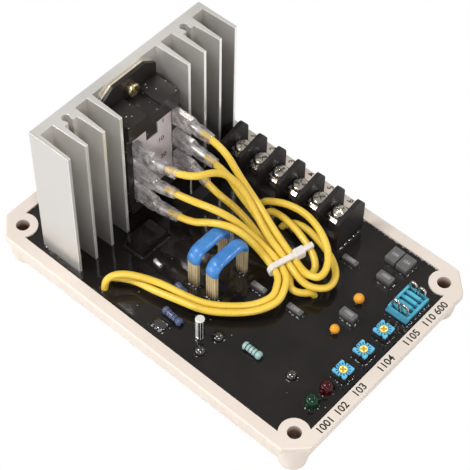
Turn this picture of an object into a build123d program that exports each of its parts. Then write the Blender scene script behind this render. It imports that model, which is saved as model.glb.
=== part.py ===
from build123d import *
import math
import os

os.makedirs("parts", exist_ok=True)

# Frame: origin at the middle of the feet's lower faces, +X to the trimmer end,
# +Y to the terminal block, +Z up. Millimetres.

# Case
RIM_Z = 16.7
CASE_L = 149.4
CASE_W = 101.0
FLANGE_T = 3.0
CORNER_CUT = 7.6
CAVITY_L = 139.4
CAVITY_W = 91.3
WALL_T = 1.5
TRAY_Z = 2.7
FLOOR_T = 2.0
BOSS_R = 5.7
SKIRT_R = 7.6
FOOT_R = 5.2
HOLE_R = 2.6
HOLE_SX = 132.6
HOLE_SY = 84.4
PILLAR_R = 3.0
PILLAR_X = -31.0
PILLAR_Y = 40.0

# Potting and board
RESIN_DROP = 1.05
BOARD_T = 1.6
BOARD_DROP = 4.5
BOARD_X0 = -34.8
BOARD_X1 = 68.0
BOARD_HALF_Y = 44.0

# Heat sink
SINK_Y = -0.4
SINK_BACK_X = -54.3
SINK_BASE_T = 3.7
SINK_THICK_T = 7.1
FIN_TIP_X = -35.5
FIN_COUNT = 4
FIN_FIRST = 17.2
FIN_PITCH = 8.25
FIN_TIP_T = 1.3
FIN_ROOT_T = 2.6
OUTER_ROOT_T = 1.85
SINK_TOP = 78.9
PORT_R = 1.5
PORT_NECK = 2.2
PORT_BACK = 4.6
SINK_SCREW_HEAD_R = 2.9
SINK_SCREW_HEAD_T = 1.9
SINK_SCREW_LEN = 16.0

# Power module
PLATE_T = 2.5
PLATE_HALF_Y = 13.4
PLATE_Z0 = 12.7
PLATE_Z1 = 77.7
PLATE_CUT_Y = 5.3
PLATE_CUT_Z = 3.7
BODY_HALF_Y = 13.2
BODY_Z0 = 21.7
BODY_Z1 = 68.9
BODY_FRONT_X = -36.4
BEAM_H = 7.7
BEAM_LOW_H = 4.6
FACE_X = -38.0
FACE_T = 0.6
FACE_Y0 = -10.5
FACE_Y1 = 9.5
FACE_TOP = 59.9
FACE_NOTCH_Y0 = -3.6
FACE_NOTCH_Y1 = 2.5
FACE_NOTCH_Z = 52.7
CHANNEL_Y0 = -3.9
CHANNEL_Y1 = 3.1
CHANNEL_Z = 67.0
LUG_SCREW_TOP = 71.4
LUG_SCREW_LOW = 19.0
LUG_SCREW_R = 1.9
LUG_HEAD_R = 3.5
LUG_HEAD_T = 2.4

# Blade tabs, receptacles and sleeves
TAB_W = 6.3
TAB_T = 0.8
TAB_LEN = 7.6
TAB_PITCH = 11.75
TAB_Y_RIGHT = 10.7
TAB_Y_LEFT = -9.7
TAB_Z_RIGHT = 56.4
TAB_Z_LEFT = 54.6
CONTACT_W = 7.3
CONTACT_T = 2.0
CONTACT_LEN = 9.0
CONTACT_GAP = 0.4
SLEEVE_W = 8.3
SLEEVE_T = 3.6
SLEEVE_LEN = 11.4
BARREL_R = 2.15
CRIMP_R = 1.35
WIRE_R = 1.35

# Ends of the six sleeves, where the wires leave them
SLEEVE_END_R = [(-20.2, 11.4, 55.4), (-18.2, 11.4, 43.4), (-19.6, 8.6, 33.6)]
SLEEVE_END_L = [(-18.2, -8.9, 55.7), (-18.7, -9.0, 44.2), (-17.6, -9.0, 31.9)]

# Bundle and tie
TIE_X = 21.8
TIE_Y = 5.3
TIE_Z = 22.9
TIE_TURN = -19.9
WIRE_GAP = 2.9
ROW_GAP = 2.55
TIE_PLAY = 0.06
TIE_T = 1.1
TIE_W = 2.6
TIE_HEAD = 4.6
TIE_TAIL = 6.2
TIE_ALONG = -0.9
LEAD_OUT = 5.0

# Terminal block
TB_X0 = -29.9
TB_PITCH = 9.5
TB_POLES = 6
TB_WALL_T = 1.7
TB_FRONT_Y = 27.0
TB_BACK_Y = 42.6
TB_SEAT_Z = 24.9
TB_LEDGE_Z = 21.2
TB_LEDGE_Y = 30.2
TB_SCREW_Y = 34.6
TB_SCREW_R = 1.75
TB_HEAD_R = 3.1
TB_HEAD_T = 2.3
TB_TABLE_T = 0.8
TB_WASHER_T = 0.8
TB_SCREW_LEN = 7.0

# Links
LINK_X_RIGHT = 7.65
LINK_X_LEFT = -1.2
LINK_Y_NEAR = -18.9
LINK_Y_FAR = -2.7
LINK_W = 4.7
LINK_T = 2.0
LINK_SKIN = 0.35
LINK_TOP = 35.3
LINK_BEND_R = 4.2
LINK_SLEEVE_Z = 30.3

# Lamps
LAMP_R = 2.5
LAMP_DOME_Z = 18.2
LAMP_RIM_R = 2.8
LAMPS = [("led_green", 63.1, -29.4), ("led_red", 63.4, -21.7)]

# Trimmers
TRIM_X = 63.8
TRIM_Y = [-13.3, -1.95, 9.4]
TRIM_SIDE = 5.7
TRIM_BASE_SIDE = 5.9
TRIM_TOP = 20.2
TRIM_COVER_T = 1.9
TRIM_NECK_T = 0.5
TRIM_NECK_SIDE = 4.6
TRIM_WELL_R = 1.85
TRIM_WELL_D = 0.6
ROTOR_R = 1.5
STEM_R = 0.8
STEM_PLAY = 0.05
STEM_LEN = 1.3
ROTOR_SLOT = 0.7
ROTOR_SLOT_D = 0.35

# Jumper header
HEAD_X0 = 58.0
HEAD_X1 = 67.6
HEAD_Y0 = 17.6
HEAD_Y1 = 31.2
HEAD_TOP = 19.2
HEAD_STEP_Y = 1.4
HEAD_STEP_Z = 1.3
SLOT_COUNT = 5
SLOT_PITCH = 2.54
SLOT_W = 1.15
SLOT_D = 1.3
SLOT_END = 1.0
JUMPER_R = 0.45
JUMPER_RISE = 4.6
JUMPER_SPAN = 2.7
JUMPER_X = 1.95

# Board parts, top height and plan box
BOX_CAPS = {
    "box_capacitors_pair": [(43.9, 48.6, 35.2, 41.8, 19.5), (49.1, 54.0, 35.1, 41.7, 19.5)],
    "box_capacitor_mid": [(46.6, 53.0, 26.8, 30.1, 19.4)],
    "box_capacitor_front": [(46.8, 53.3, 5.2, 8.4, 19.4)],
    "slim_capacitor_1": [(31.8, 38.4, 25.4, 27.6, 18.3)],
    "slim_capacitor_2": [(30.6, 37.3, -4.9, -2.5, 17.9)],
    "slim_capacitor_3": [(15.0, 21.7, -6.4, -4.2, 18.5)],
    "slim_capacitor_4": [(14.0, 20.5, 14.9, 17.1, 18.2)],
}
BEADS = [(48.1, 15.3, 2.0), (50.0, -0.8, 1.8)]
BEAD_Z = 17.6
RESISTORS = [
    ("resistor_1", (29.9, -27.0), (38.3, -27.0), 17.0),
    ("resistor_2", (-1.4, -34.7), (8.0, -35.4), 17.0),
    ("resistor_3", (-5.8, -23.6), (0.4, -24.6), 16.6),
]
RES_R = 1.35
RES_END_R = 1.6
RES_END_LEN = 2.0
LEAD_R = 0.35
CAN_X = 16.2
CAN_Y = -34.7
CAN_R = 1.75
CAN_TOP = 27.7
DOMES = [(21.2, -30.5), (20.3, -39.2), (50.8, -25.4)]
DOME_R = 2.15
DOME_Z = 16.2
OPTO = (-0.9, 5.5, -42.2, -38.6, 16.7)
OPTO_LEAD_W = 1.0
AXIAL = ((-19.8, -20.8), (-14.2, -21.6), 16.4)
AXIAL_R = 1.3
LOW_BOX = (-32.4, -22.9, -22.9, -9.3, 19.2)
LONG_BOX = (-27.3, -22.5, -4.0, 16.0, 21.7)

# Values that follow from the ones above
RESIN_Z = RIM_Z - RESIN_DROP
BOARD_Z = RIM_Z - BOARD_DROP
FLOOR_Z = TRAY_Z + FLOOR_T
SINK_FRONT_X = SINK_BACK_X + SINK_BASE_T
PLATE_FRONT_X = SINK_FRONT_X + PLATE_T
MODULE_Y = SINK_Y
PORT_X = SINK_BACK_X + PORT_BACK
PORT_Y = FIN_FIRST + 1.5 * FIN_PITCH
BASE_TOP = TRIM_TOP - TRIM_COVER_T - TRIM_NECK_T


def box(x0, x1, y0, y1, z0, z1):
    size = (x1 - x0, y1 - y0, z1 - z0)
    middle = ((x0 + x1) / 2, (y0 + y1) / 2, (z0 + z1) / 2)
    return Pos(*middle) * Box(*size)


def rod(x, y, z0, z1, r):
    return Pos(x, y, (z0 + z1) / 2) * Cylinder(r, z1 - z0)


def rod_along(a, b, r):
    a = Vector(*a)
    b = Vector(*b)
    plane = Plane(origin=a, z_dir=b - a)
    return extrude(plane * Circle(r), (b - a).length)


def softened(solid, edges, r):
    try:
        return fillet(edges, r)
    except Exception:
        return solid


def corners(x, y):
    return [(sx * x, sy * y) for sx in (-1, 1) for sy in (-1, 1)]


# Case
def make_case():
    half_l = CASE_L / 2
    half_w = CASE_W / 2
    cut = CORNER_CUT
    outline = [
        (half_l - cut, half_w),
        (half_l, half_w - cut),
        (half_l, cut - half_w),
        (half_l - cut, -half_w),
        (cut - half_l, -half_w),
        (-half_l, cut - half_w),
        (-half_l, half_w - cut),
        (cut - half_l, half_w),
    ]
    ring = make_face(Polyline(*outline, close=True))
    ring = fillet(ring.vertices(), 2.0)
    flange = Pos(0, 0, RIM_Z - FLANGE_T) * extrude(ring, FLANGE_T)
    top_edges = flange.edges().group_by(Axis.Z)[-1]
    flange = softened(flange, top_edges, 0.7)
    tray = box(
        -CAVITY_L / 2 - WALL_T,
        CAVITY_L / 2 + WALL_T,
        -CAVITY_W / 2 - WALL_T,
        CAVITY_W / 2 + WALL_T,
        TRAY_Z,
        RIM_Z - FLANGE_T,
    )
    tray = fillet(tray.edges().filter_by(Axis.Z), 5.0)
    body = flange + tray
    for x, y in corners(HOLE_SX / 2, HOLE_SY / 2):
        body = body + rod(x, y, TRAY_Z, RIM_Z - FLANGE_T, BOSS_R)
        body = body + rod(x, y, 0, TRAY_Z, FOOT_R)
    body = body - make_cavity()
    for x, y in corners(HOLE_SX / 2, HOLE_SY / 2):
        body = body - rod(x, y, 0, RIM_Z, HOLE_R)
    for s in (-1, 1):
        body = body - rod(PORT_X, SINK_Y + s * PORT_Y, TRAY_Z, FLOOR_Z, PORT_R)
    return body


def make_cavity():
    hollow = box(-CAVITY_L / 2, CAVITY_L / 2, -CAVITY_W / 2, CAVITY_W / 2, FLOOR_Z, RIM_Z)
    board_low = BOARD_Z - BOARD_T
    for x, y in corners(HOLE_SX / 2, HOLE_SY / 2):
        hollow = hollow - rod(x, y, FLOOR_Z, RIM_Z, BOSS_R)
        hollow = hollow - rod(x, y, FLOOR_Z, board_low, SKIRT_R)
    for s in (-1, 1):
        hollow = hollow - rod(PILLAR_X, s * PILLAR_Y, FLOOR_Z, board_low, PILLAR_R)
    return hollow


# Board
def make_board():
    board_low = BOARD_Z - BOARD_T
    board = box(BOARD_X0, BOARD_X1, -BOARD_HALF_Y, BOARD_HALF_Y, board_low, BOARD_Z)
    for s in (-1, 1):
        board = board - rod(HOLE_SX / 2, s * HOLE_SY / 2, board_low, BOARD_Z, BOSS_R)
    return board


# Heat sink
def fin(y_mid, root_t, x_root):
    points = [
        (x_root, y_mid - root_t / 2),
        (FIN_TIP_X, y_mid - FIN_TIP_T / 2),
        (FIN_TIP_X, y_mid + FIN_TIP_T / 2),
        (x_root, y_mid + root_t / 2),
    ]
    return make_face(Polyline(*points, close=True))


def make_sink():
    outer = FIN_FIRST + (FIN_COUNT - 1) * FIN_PITCH + FIN_TIP_T / 2
    base_mid = (SINK_BACK_X + SINK_FRONT_X) / 2
    profile = Pos(base_mid, 0) * Rectangle(SINK_BASE_T, 2 * outer)
    thick_front = SINK_BACK_X + SINK_THICK_T
    for s in (-1, 1):
        for i in range(FIN_COUNT - 1):
            profile = profile + fin(s * (FIN_FIRST + i * FIN_PITCH), FIN_ROOT_T, SINK_FRONT_X)
        edge = s * outer
        points = [
            (SINK_FRONT_X, edge),
            (FIN_TIP_X, edge),
            (FIN_TIP_X, edge - s * FIN_TIP_T),
            (SINK_FRONT_X, edge - s * OUTER_ROOT_T),
        ]
        profile = profile + make_face(Polyline(*points, close=True))
        land_mid = (SINK_BACK_X + thick_front) / 2
        land = Pos(land_mid, s * PORT_Y) * Rectangle(SINK_THICK_T, FIN_PITCH)
        profile = profile + land
        profile = profile - Pos(PORT_X, s * PORT_Y) * Circle(PORT_R)
        neck_mid = (PORT_X + thick_front) / 2
        neck = Pos(neck_mid, s * PORT_Y) * Rectangle(thick_front - PORT_X, PORT_NECK)
        profile = profile - neck
    sink = Pos(0, SINK_Y, FLOOR_Z) * extrude(profile, SINK_TOP - FLOOR_Z)
    for z in (LUG_SCREW_TOP, LUG_SCREW_LOW):
        hole = rod_along(
            (SINK_BACK_X, MODULE_Y, z),
            (SINK_FRONT_X, MODULE_Y, z),
            LUG_SCREW_R,
        )
        sink = sink - hole
    return sink


def make_sink_screws():
    screws = []
    for s in (-1, 1):
        y = SINK_Y + s * PORT_Y
        screw = rod(PORT_X, y, TRAY_Z, TRAY_Z + SINK_SCREW_LEN, PORT_R)
        head = rod(PORT_X, y, TRAY_Z - SINK_SCREW_HEAD_T, TRAY_Z, SINK_SCREW_HEAD_R)
        low = TRAY_Z - SINK_SCREW_HEAD_T
        for turn in (0, 90):
            bar = Pos(PORT_X, y, low + 0.45) * Rot(0, 0, turn) * Box(3.4, 0.7, 0.9)
            head = head - bar
        screws.append(screw + head)
    return Compound(children=screws)


# Power module
def make_plate():
    y0 = MODULE_Y - PLATE_HALF_Y
    y1 = MODULE_Y + PLATE_HALF_Y
    cy = PLATE_CUT_Y
    cz = PLATE_CUT_Z
    points = [
        (y0 + cy, PLATE_Z0),
        (y1 - cy, PLATE_Z0),
        (y1, PLATE_Z0 + cz),
        (y1, PLATE_Z1 - cz),
        (y1 - cy, PLATE_Z1),
        (y0 + cy, PLATE_Z1),
        (y0, PLATE_Z1 - cz),
        (y0, PLATE_Z0 + cz),
    ]
    face = make_face(Polyline(*[(SINK_FRONT_X, y, z) for y, z in points], close=True))
    plate = extrude(face, PLATE_T, dir=(1, 0, 0))
    for z in (LUG_SCREW_TOP, LUG_SCREW_LOW):
        hole = rod_along(
            (SINK_FRONT_X, MODULE_Y, z),
            (PLATE_FRONT_X, MODULE_Y, z),
            LUG_SCREW_R,
        )
        plate = plate - hole
    return plate


def make_module_body():
    y0 = MODULE_Y - BODY_HALF_Y
    y1 = MODULE_Y + BODY_HALF_Y
    back = FACE_X - FACE_T
    body = box(PLATE_FRONT_X, back, y0, y1, BODY_Z0, BODY_Z1)
    body = body + box(back, BODY_FRONT_X, y0, y1, BODY_Z1 - BEAM_H, BODY_Z1)
    body = body + box(back, BODY_FRONT_X, y0, y1, BODY_Z0, BODY_Z0 + BEAM_LOW_H)
    body = body + box(back, FACE_X, y0, FACE_Y0, BODY_Z0, BODY_Z1)
    body = body + box(back, FACE_X, FACE_Y1, y1, BODY_Z0, BODY_Z1)
    upper = body.edges().filter_by(Axis.X).group_by(Axis.Z)[-1]
    body = softened(body, upper, 0.8)
    for z0, z1 in ((CHANNEL_Z, BODY_Z1), (BODY_Z0, BODY_Z0 + BODY_Z1 - CHANNEL_Z)):
        body = body - box(PLATE_FRONT_X, BODY_FRONT_X, CHANNEL_Y0, CHANNEL_Y1, z0, z1)
    for y, z in tab_places():
        body = body - tab_box(y, z)
    return body


def tab_places():
    right = [(TAB_Y_RIGHT, TAB_Z_RIGHT - i * TAB_PITCH) for i in range(3)]
    left = [(TAB_Y_LEFT, TAB_Z_LEFT - i * TAB_PITCH) for i in range(3)]
    return right + left


def tab_box(y, z, grow=0.0):
    half_t = TAB_T / 2 + grow
    half_w = TAB_W / 2 + grow
    x0 = FACE_X - FACE_T - 3.0
    x1 = FACE_X + TAB_LEN
    return box(x0, x1, y - half_t, y + half_t, z - half_w, z + half_w)


def make_face_plate():
    x0 = FACE_X - FACE_T
    low = BODY_Z0 + BEAM_LOW_H
    plate = box(x0, FACE_X, FACE_Y0, FACE_Y1, low, FACE_TOP)
    plate = plate - box(x0, FACE_X, FACE_NOTCH_Y0, FACE_NOTCH_Y1, FACE_NOTCH_Z, FACE_TOP)
    points = [
        (x0, FACE_NOTCH_Y0, FACE_TOP + 1.1),
        (x0, FACE_Y0, FACE_TOP - 1.4),
        (x0, FACE_Y0, FACE_TOP - 4.0),
        (x0, FACE_NOTCH_Y0, FACE_TOP - 4.0),
    ]
    ear = extrude(make_face(Polyline(*points, close=True)), FACE_T, dir=(1, 0, 0))
    plate = plate - box(x0, FACE_X, FACE_Y0, FACE_NOTCH_Y0, FACE_TOP - 4.0, FACE_TOP)
    plate = plate + ear
    for y, z in tab_places():
        plate = plate - tab_box(y, z, 0.25)
    return plate


def make_tabs(y, z_top):
    tabs = []
    for i in range(3):
        tab = tab_box(y, z_top - i * TAB_PITCH)
        tip = tab.edges().filter_by(Axis.Y).group_by(Axis.X)[-1]
        tabs.append(chamfer(tip, 0.7))
    return Compound(children=tabs)


def make_module_screws():
    screws = []
    for z in (LUG_SCREW_TOP, LUG_SCREW_LOW):
        x0 = PLATE_FRONT_X
        screw = rod_along((SINK_BACK_X, MODULE_Y, z), (x0, MODULE_Y, z), LUG_SCREW_R)
        head = rod_along((x0, MODULE_Y, z), (x0 + LUG_HEAD_T, MODULE_Y, z), LUG_HEAD_R)
        head = softened(head, head.edges().group_by(Axis.X)[-1], 0.9)
        x_bar = x0 + LUG_HEAD_T - 0.6
        for turn in (0, 90):
            bar = Pos(x_bar, MODULE_Y, z) * Rot(turn + 20, 0, 0) * Box(1.2, 4.2, 0.9)
            head = head - bar
        screws.append(screw + head)
    return Compound(children=screws)


# Receptacles and sleeves
def contact_bend(y, z):
    return (FACE_X - 0.3 + SLEEVE_LEN, y, z)


def crimp_end(y, z, end):
    a = Vector(*contact_bend(y, z))
    b = Vector(*end)
    return b - (b - a).normalized() * 4.5


def make_contact(y, z, end):
    x0 = FACE_X + CONTACT_GAP
    half_t = CONTACT_T / 2
    half_w = CONTACT_W / 2
    shell = box(x0, x0 + CONTACT_LEN, y - half_t, y + half_t, z - half_w, z + half_w)
    bend = contact_bend(y, z)
    shell = shell + rod_along((x0 + CONTACT_LEN - 1.0, y, z), bend, CRIMP_R)
    shell = shell + Pos(*bend) * Sphere(CRIMP_R)
    shell = shell + rod_along(bend, crimp_end(y, z, end), CRIMP_R)
    return shell - tab_box(y, z)


def make_sleeve(y, z, end):
    x0 = FACE_X + CONTACT_GAP
    x1 = FACE_X - 0.3 + SLEEVE_LEN
    half_t = SLEEVE_T / 2
    half_w = SLEEVE_W / 2
    flat = box(x0, x1 - 2.2, y - half_t, y + half_t, z - half_w, z + half_w)
    flat = softened(flat, flat.edges().filter_by(Axis.X), 1.1)
    start = Plane(origin=(x1 - 2.2, y, z), x_dir=(0, 1, 0), z_dir=(1, 0, 0))
    stop = Plane(origin=(x1, y, z), x_dir=(0, 1, 0), z_dir=(1, 0, 0))
    wide = start * RectangleRounded(SLEEVE_T, SLEEVE_W, 1.1)
    narrow = stop * RectangleRounded(2 * BARREL_R, 2 * BARREL_R + 0.02, BARREL_R - 0.01)
    cone = loft([wide, narrow])
    sleeve = flat + cone + Pos(x1, y, z) * Sphere(BARREL_R)
    sleeve = sleeve + rod_along((x1, y, z), end, BARREL_R)
    sleeve = sleeve - make_contact(y, z, end)
    sleeve = sleeve - rod_along(crimp_end(y, z, end), end, WIRE_R)
    return sleeve - tab_box(y, z)


# Wires
TIE_DIR = Vector(math.cos(math.radians(TIE_TURN)), math.sin(math.radians(TIE_TURN)), 0)
TIE_SIDE = Vector(-TIE_DIR.Y, TIE_DIR.X, 0)

# Each wire: receptacle (side and number), place in the bundle (across, row, start
# and end along it), control points before the bundle and after it
WIRES = {
    "wire_1": (
        ("right", 0),
        (1.5, 0, -6.5, 2.5),
        [(-7.5, 12.8, 43.2), (1.0, 12.9, 35.5), (10.8, 11.5, 28.6)],
        [(31.4, 5.8, 26.2), (35.8, 7.3, 26.6), (34.8, 13.0, 27.0), (30.6, 18.2, 28.1),
         (23.7, 22.2, 29.5), (15.1, 24.5, 30.0), (7.0, 23.9, 29.3), (0.3, 22.8, 26.7),
         (-4.7, 22.6, 22.7), (-5.5, 21.8, 17.4)],
    ),
    "wire_2": (
        ("right", 1),
        (1.0, 1, -6.5, 2.0),
        [(-8.4, 12.9, 34.1), (-0.1, 12.6, 29.4), (9.5, 10.6, 24.7)],
        [(29.3, 8.8, 20.3), (30.0, 12.2, 20.9), (26.9, 15.5, 22.7), (20.6, 17.8, 24.5),
         (13.0, 19.9, 25.1), (5.6, 21.3, 24.3), (-0.4, 21.6, 21.9), (-1.6, 20.4, 17.2)],
    ),
    "wire_3": (
        ("right", 2),
        (0.0, 1, -4.5, 3.0),
        [(-7.1, 10.6, 27.7), (0.4, 11.1, 22.9), (9.0, 9.1, 20.3)],
        [(27.6, 0.9, 19.5), (31.5, 1.8, 19.1), (34.8, 6.9, 17.7)],
    ),
    "wire_4": (
        ("left", 0),
        (0.5, 0, -6.5, 3.0),
        [(-10.2, 4.4, 52.2), (-5.7, 9.1, 45.2), (0.5, 10.1, 36.9), (9.4, 8.2, 29.1)],
        [(30.8, 5.0, 20.7), (35.8, 6.6, 20.9), (38.9, 10.2, 21.2), (37.1, 15.8, 21.3),
         (31.5, 20.1, 21.6), (24.3, 22.7, 21.7), (16.5, 24.6, 21.5), (11.4, 24.6, 21.0),
         (7.6, 23.6, 19.0), (5.0, 22.4, 15.8)],
    ),
    "wire_5": (
        ("left", 1),
        (-0.5, 0, -6.5, 3.2),
        [(-4.1, -3.4, 41.9), (1.3, 0.2, 37.4), (6.6, 3.9, 29.6)],
        [(27.4, -1.8, 22.1), (29.3, -7.4, 21.3), (26.1, -14.4, 20.3), (20.6, -20.3, 19.7),
         (11.7, -27.2, 19.7), (1.8, -30.0, 19.9), (-7.8, -32.6, 19.6), (-16.1, -33.6, 18.8),
         (-20.3, -35.5, 18.5), (-26.0, -39.3, 18.4)],
    ),
    "wire_6": (
        ("left", 2),
        (-1.5, 0, -6.0, 2.2),
        [(-4.3, -5.9, 37.3), (3.4, -2.3, 37.3), (9.6, 0.6, 31.2)],
        [(24.7, -3.1, 22.1), (26.3, -7.0, 21.3), (23.7, -12.8, 20.3), (18.7, -18.1, 19.7),
         (10.3, -24.6, 19.7), (1.0, -27.2, 19.9), (-8.6, -29.7, 21.2), (-16.4, -34.2, 22.9),
         (-20.7, -37.9, 23.5), (-22.7, -41.5, 22.7), (-23.9, -42.2, 16.9)],
    ),
}


def bundle_point(across, row, along):
    middle = Vector(TIE_X, TIE_Y, TIE_Z - row * ROW_GAP)
    return middle + TIE_SIDE * (across * WIRE_GAP) + TIE_DIR * along


def wire_points(name):
    (side, number), (across, row, start, stop), before, after = WIRES[name]
    y = TAB_Y_RIGHT if side == "right" else TAB_Y_LEFT
    top = TAB_Z_RIGHT if side == "right" else TAB_Z_LEFT
    ends = SLEEVE_END_R if side == "right" else SLEEVE_END_L
    z = top - number * TAB_PITCH
    end = Vector(*ends[number])
    inner = crimp_end(y, z, end)
    points = [inner, end + (end - inner).normalized() * LEAD_OUT]
    points += [Vector(*p) for p in before]
    points += [bundle_point(across, row, start), bundle_point(across, row, stop)]
    points += [Vector(*p) for p in after]
    points.append(Vector(after[-1][0], after[-1][1], BOARD_Z))
    return points


def bend_radii(points):
    radii = []
    for i in range(1, len(points) - 1):
        a = points[i] - points[i - 1]
        b = points[i + 1] - points[i]
        turn = math.radians(a.get_angle(b))
        radii.append(0.45 * min(a.length, b.length) / math.tan(turn / 2))
    return radii


def make_wire(name):
    points = wire_points(name)
    radii = bend_radii(points)
    path = FilletPolyline(*[tuple(p) for p in points], radius=radii)
    section = Plane(origin=path @ 0, z_dir=path % 0) * Circle(WIRE_R)
    tube = sweep(section, path=path)
    ideal = math.pi * WIRE_R ** 2 * path.length
    print(name, "length", round(path.length, 1), "radii", [round(r, 1) for r in radii],
          "volume ratio", round(tube.volume / ideal, 3))
    return tube


# Cable tie
def make_tie():
    places = [(w[1][0], w[1][1]) for w in WIRES.values()]
    upper = sorted(a for a, row in places if row == 0)
    lower = sorted(a for a, row in places if row == 1)
    ring = [
        (upper[0] * WIRE_GAP, 0),
        (lower[0] * WIRE_GAP, -ROW_GAP),
        (lower[-1] * WIRE_GAP, -ROW_GAP),
        (upper[-1] * WIRE_GAP, 0),
    ]
    core = make_face(Polyline(*ring, close=True))
    inner = offset(core, WIRE_R + TIE_PLAY)
    outer = offset(core, WIRE_R + TIE_PLAY + TIE_T)
    room = offset(core, WIRE_R + 3 * TIE_PLAY)
    edge = upper[-1] * WIRE_GAP + WIRE_R + TIE_PLAY
    tie = extrude(outer - inner, TIE_W / 2, both=True)
    head = Pos(edge + 1.2, 1.7, 0) * Box(TIE_HEAD, 3.4, TIE_HEAD)
    head = softened(head, head.edges(), 0.6)
    tail = Pos(edge + 1.2 + TIE_TAIL / 2, 2.7, 0) * Box(TIE_TAIL, TIE_T, TIE_W)
    tie = tie + (head + tail - extrude(room, TIE_HEAD, both=True))
    spot = Vector(TIE_X, TIE_Y, TIE_Z) + TIE_DIR * TIE_ALONG
    plane = Plane(origin=spot, x_dir=TIE_SIDE, z_dir=Vector(0, 0, 1).cross(TIE_SIDE) * -1)
    return plane * tie


# Terminal block
def make_block():
    x_end = TB_X0 + TB_POLES * TB_PITCH
    half = TB_WALL_T / 2
    body = box(TB_X0 - half, x_end + half, TB_LEDGE_Y, TB_BACK_Y - 2.6, BOARD_Z, TB_SEAT_Z)
    body = body + box(TB_X0 - half, x_end + half, TB_FRONT_Y + 0.6, TB_BACK_Y, BOARD_Z, TB_LEDGE_Z)
    wall_points = [
        (TB_FRONT_Y + 0.3, BOARD_Z),
        (TB_FRONT_Y, RIM_Z + 14.2),
        (TB_FRONT_Y + 0.6, RIM_Z + 15.0),
        (TB_BACK_Y - 3.8, RIM_Z + 17.7),
        (TB_BACK_Y - 2.8, RIM_Z + 17.4),
        (TB_BACK_Y - 0.4, RIM_Z + 14.2),
        (TB_BACK_Y, RIM_Z + 13.0),
        (TB_BACK_Y, BOARD_Z),
    ]
    for i in range(TB_POLES + 1):
        x = TB_X0 + i * TB_PITCH - half
        face = make_face(Polyline(*[(x, y, z) for y, z in wall_points], close=True))
        body = body + extrude(face, TB_WALL_T, dir=(1, 0, 0))
    for x in screw_places():
        low = TB_SEAT_Z - TB_SCREW_LEN
        body = body - rod(x, TB_SCREW_Y, low, TB_SEAT_Z, TB_SCREW_R)
        body = body - box(x - 2.6, x + 2.6, TB_LEDGE_Y, TB_LEDGE_Y + 1.2, TB_LEDGE_Z, TB_SEAT_Z)
    return body


def screw_places():
    return [TB_X0 + (i + 0.5) * TB_PITCH for i in range(TB_POLES)]


def make_terminal_plates():
    plates = []
    for x in screw_places():
        y0 = TB_LEDGE_Y + 1.2 - TB_TABLE_T
        plate = box(x - 3.5, x + 3.5, TB_LEDGE_Y + 1.2, 39.2, TB_SEAT_Z, TB_SEAT_Z + TB_TABLE_T)
        lip = box(x - 2.3, x + 2.3, y0, TB_LEDGE_Y + 1.2, TB_SEAT_Z - 2.4, TB_SEAT_Z + TB_TABLE_T)
        plate = plate + lip
        plate = plate - rod(x, TB_SCREW_Y, TB_SEAT_Z, TB_SEAT_Z + TB_TABLE_T, TB_SCREW_R)
        plates.append(plate)
    return Compound(children=plates)


def make_clamp_washers():
    washers = []
    z0 = TB_SEAT_Z + TB_TABLE_T
    z1 = z0 + TB_WASHER_T
    for x in screw_places():
        washer = box(x - 3.3, x + 3.3, TB_SCREW_Y - 3.3, TB_SCREW_Y + 3.3, z0, z1)
        washer = washer + box(x - 3.3, x + 3.3, TB_SCREW_Y - 3.3, TB_SCREW_Y - 2.9, z1, z1 + 0.5)
        washer = washer - rod(x, TB_SCREW_Y, z0, z1, TB_SCREW_R)
        washer = washer - rod(x, TB_SCREW_Y, z1, z1 + 0.5, TB_HEAD_R)
        washers.append(washer)
    return Compound(children=washers)


def make_terminal_screws():
    screws = []
    z0 = TB_SEAT_Z + TB_TABLE_T + TB_WASHER_T
    z1 = z0 + TB_HEAD_T
    for i, x in enumerate(screw_places()):
        shank = rod(x, TB_SCREW_Y, TB_SEAT_Z - TB_SCREW_LEN, z0, TB_SCREW_R)
        head = rod(x, TB_SCREW_Y, z0, z1, TB_HEAD_R)
        head = softened(head, head.edges().group_by(Axis.Z)[-1], 0.9)
        for turn in (0, 90):
            angle = turn + 18 + 31 * i
            head = head - Pos(x, TB_SCREW_Y, z1 - 0.6) * Rot(0, 0, angle) * Box(4.4, 0.9, 1.2)
        screws.append(shank + head)
    return Compound(children=screws)


# Links
def strap(x, width, thick, z_low):
    top = LINK_TOP - LINK_T / 2 - LINK_SKIN
    r = LINK_BEND_R
    outer = LINK_Y_FAR - LINK_Y_NEAR
    mid = (LINK_Y_FAR + LINK_Y_NEAR) / 2
    hi = top + thick / 2
    big = box(x - width / 2, x + width / 2, mid - outer / 2 - thick / 2,
              mid + outer / 2 + thick / 2, BOARD_Z, hi)
    big = fillet(big.edges().filter_by(Axis.X).group_by(Axis.Z)[-1], r + thick / 2)
    small = box(x - width / 2, x + width / 2, mid - outer / 2 + thick / 2,
                mid + outer / 2 - thick / 2, BOARD_Z, top - thick / 2)
    small = fillet(small.edges().filter_by(Axis.X).group_by(Axis.Z)[-1], r - thick / 2)
    below = box(x - width, x + width, mid - outer, mid + outer, BOARD_Z - 1.0, z_low)
    return big - small - below


def make_conductor(x):
    bar = strap(x, LINK_W, LINK_T, BOARD_Z)
    for y in (LINK_Y_NEAR, LINK_Y_FAR):
        for side in (-1, 1):
            for i in range(4):
                gx = x + (i - 1.5) * LINK_W / 4
                gy = y + side * LINK_T / 2
                bar = bar - rod(gx, gy, RESIN_Z, LINK_SLEEVE_Z, 0.3)
    return bar


def make_link_sleeve(x):
    wide = LINK_W + 2 * LINK_SKIN
    thick = LINK_T + 2 * LINK_SKIN
    sleeve = strap(x, wide, thick, LINK_SLEEVE_Z)
    return sleeve - strap(x, LINK_W, LINK_T, LINK_SLEEVE_Z - 1.0)


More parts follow.
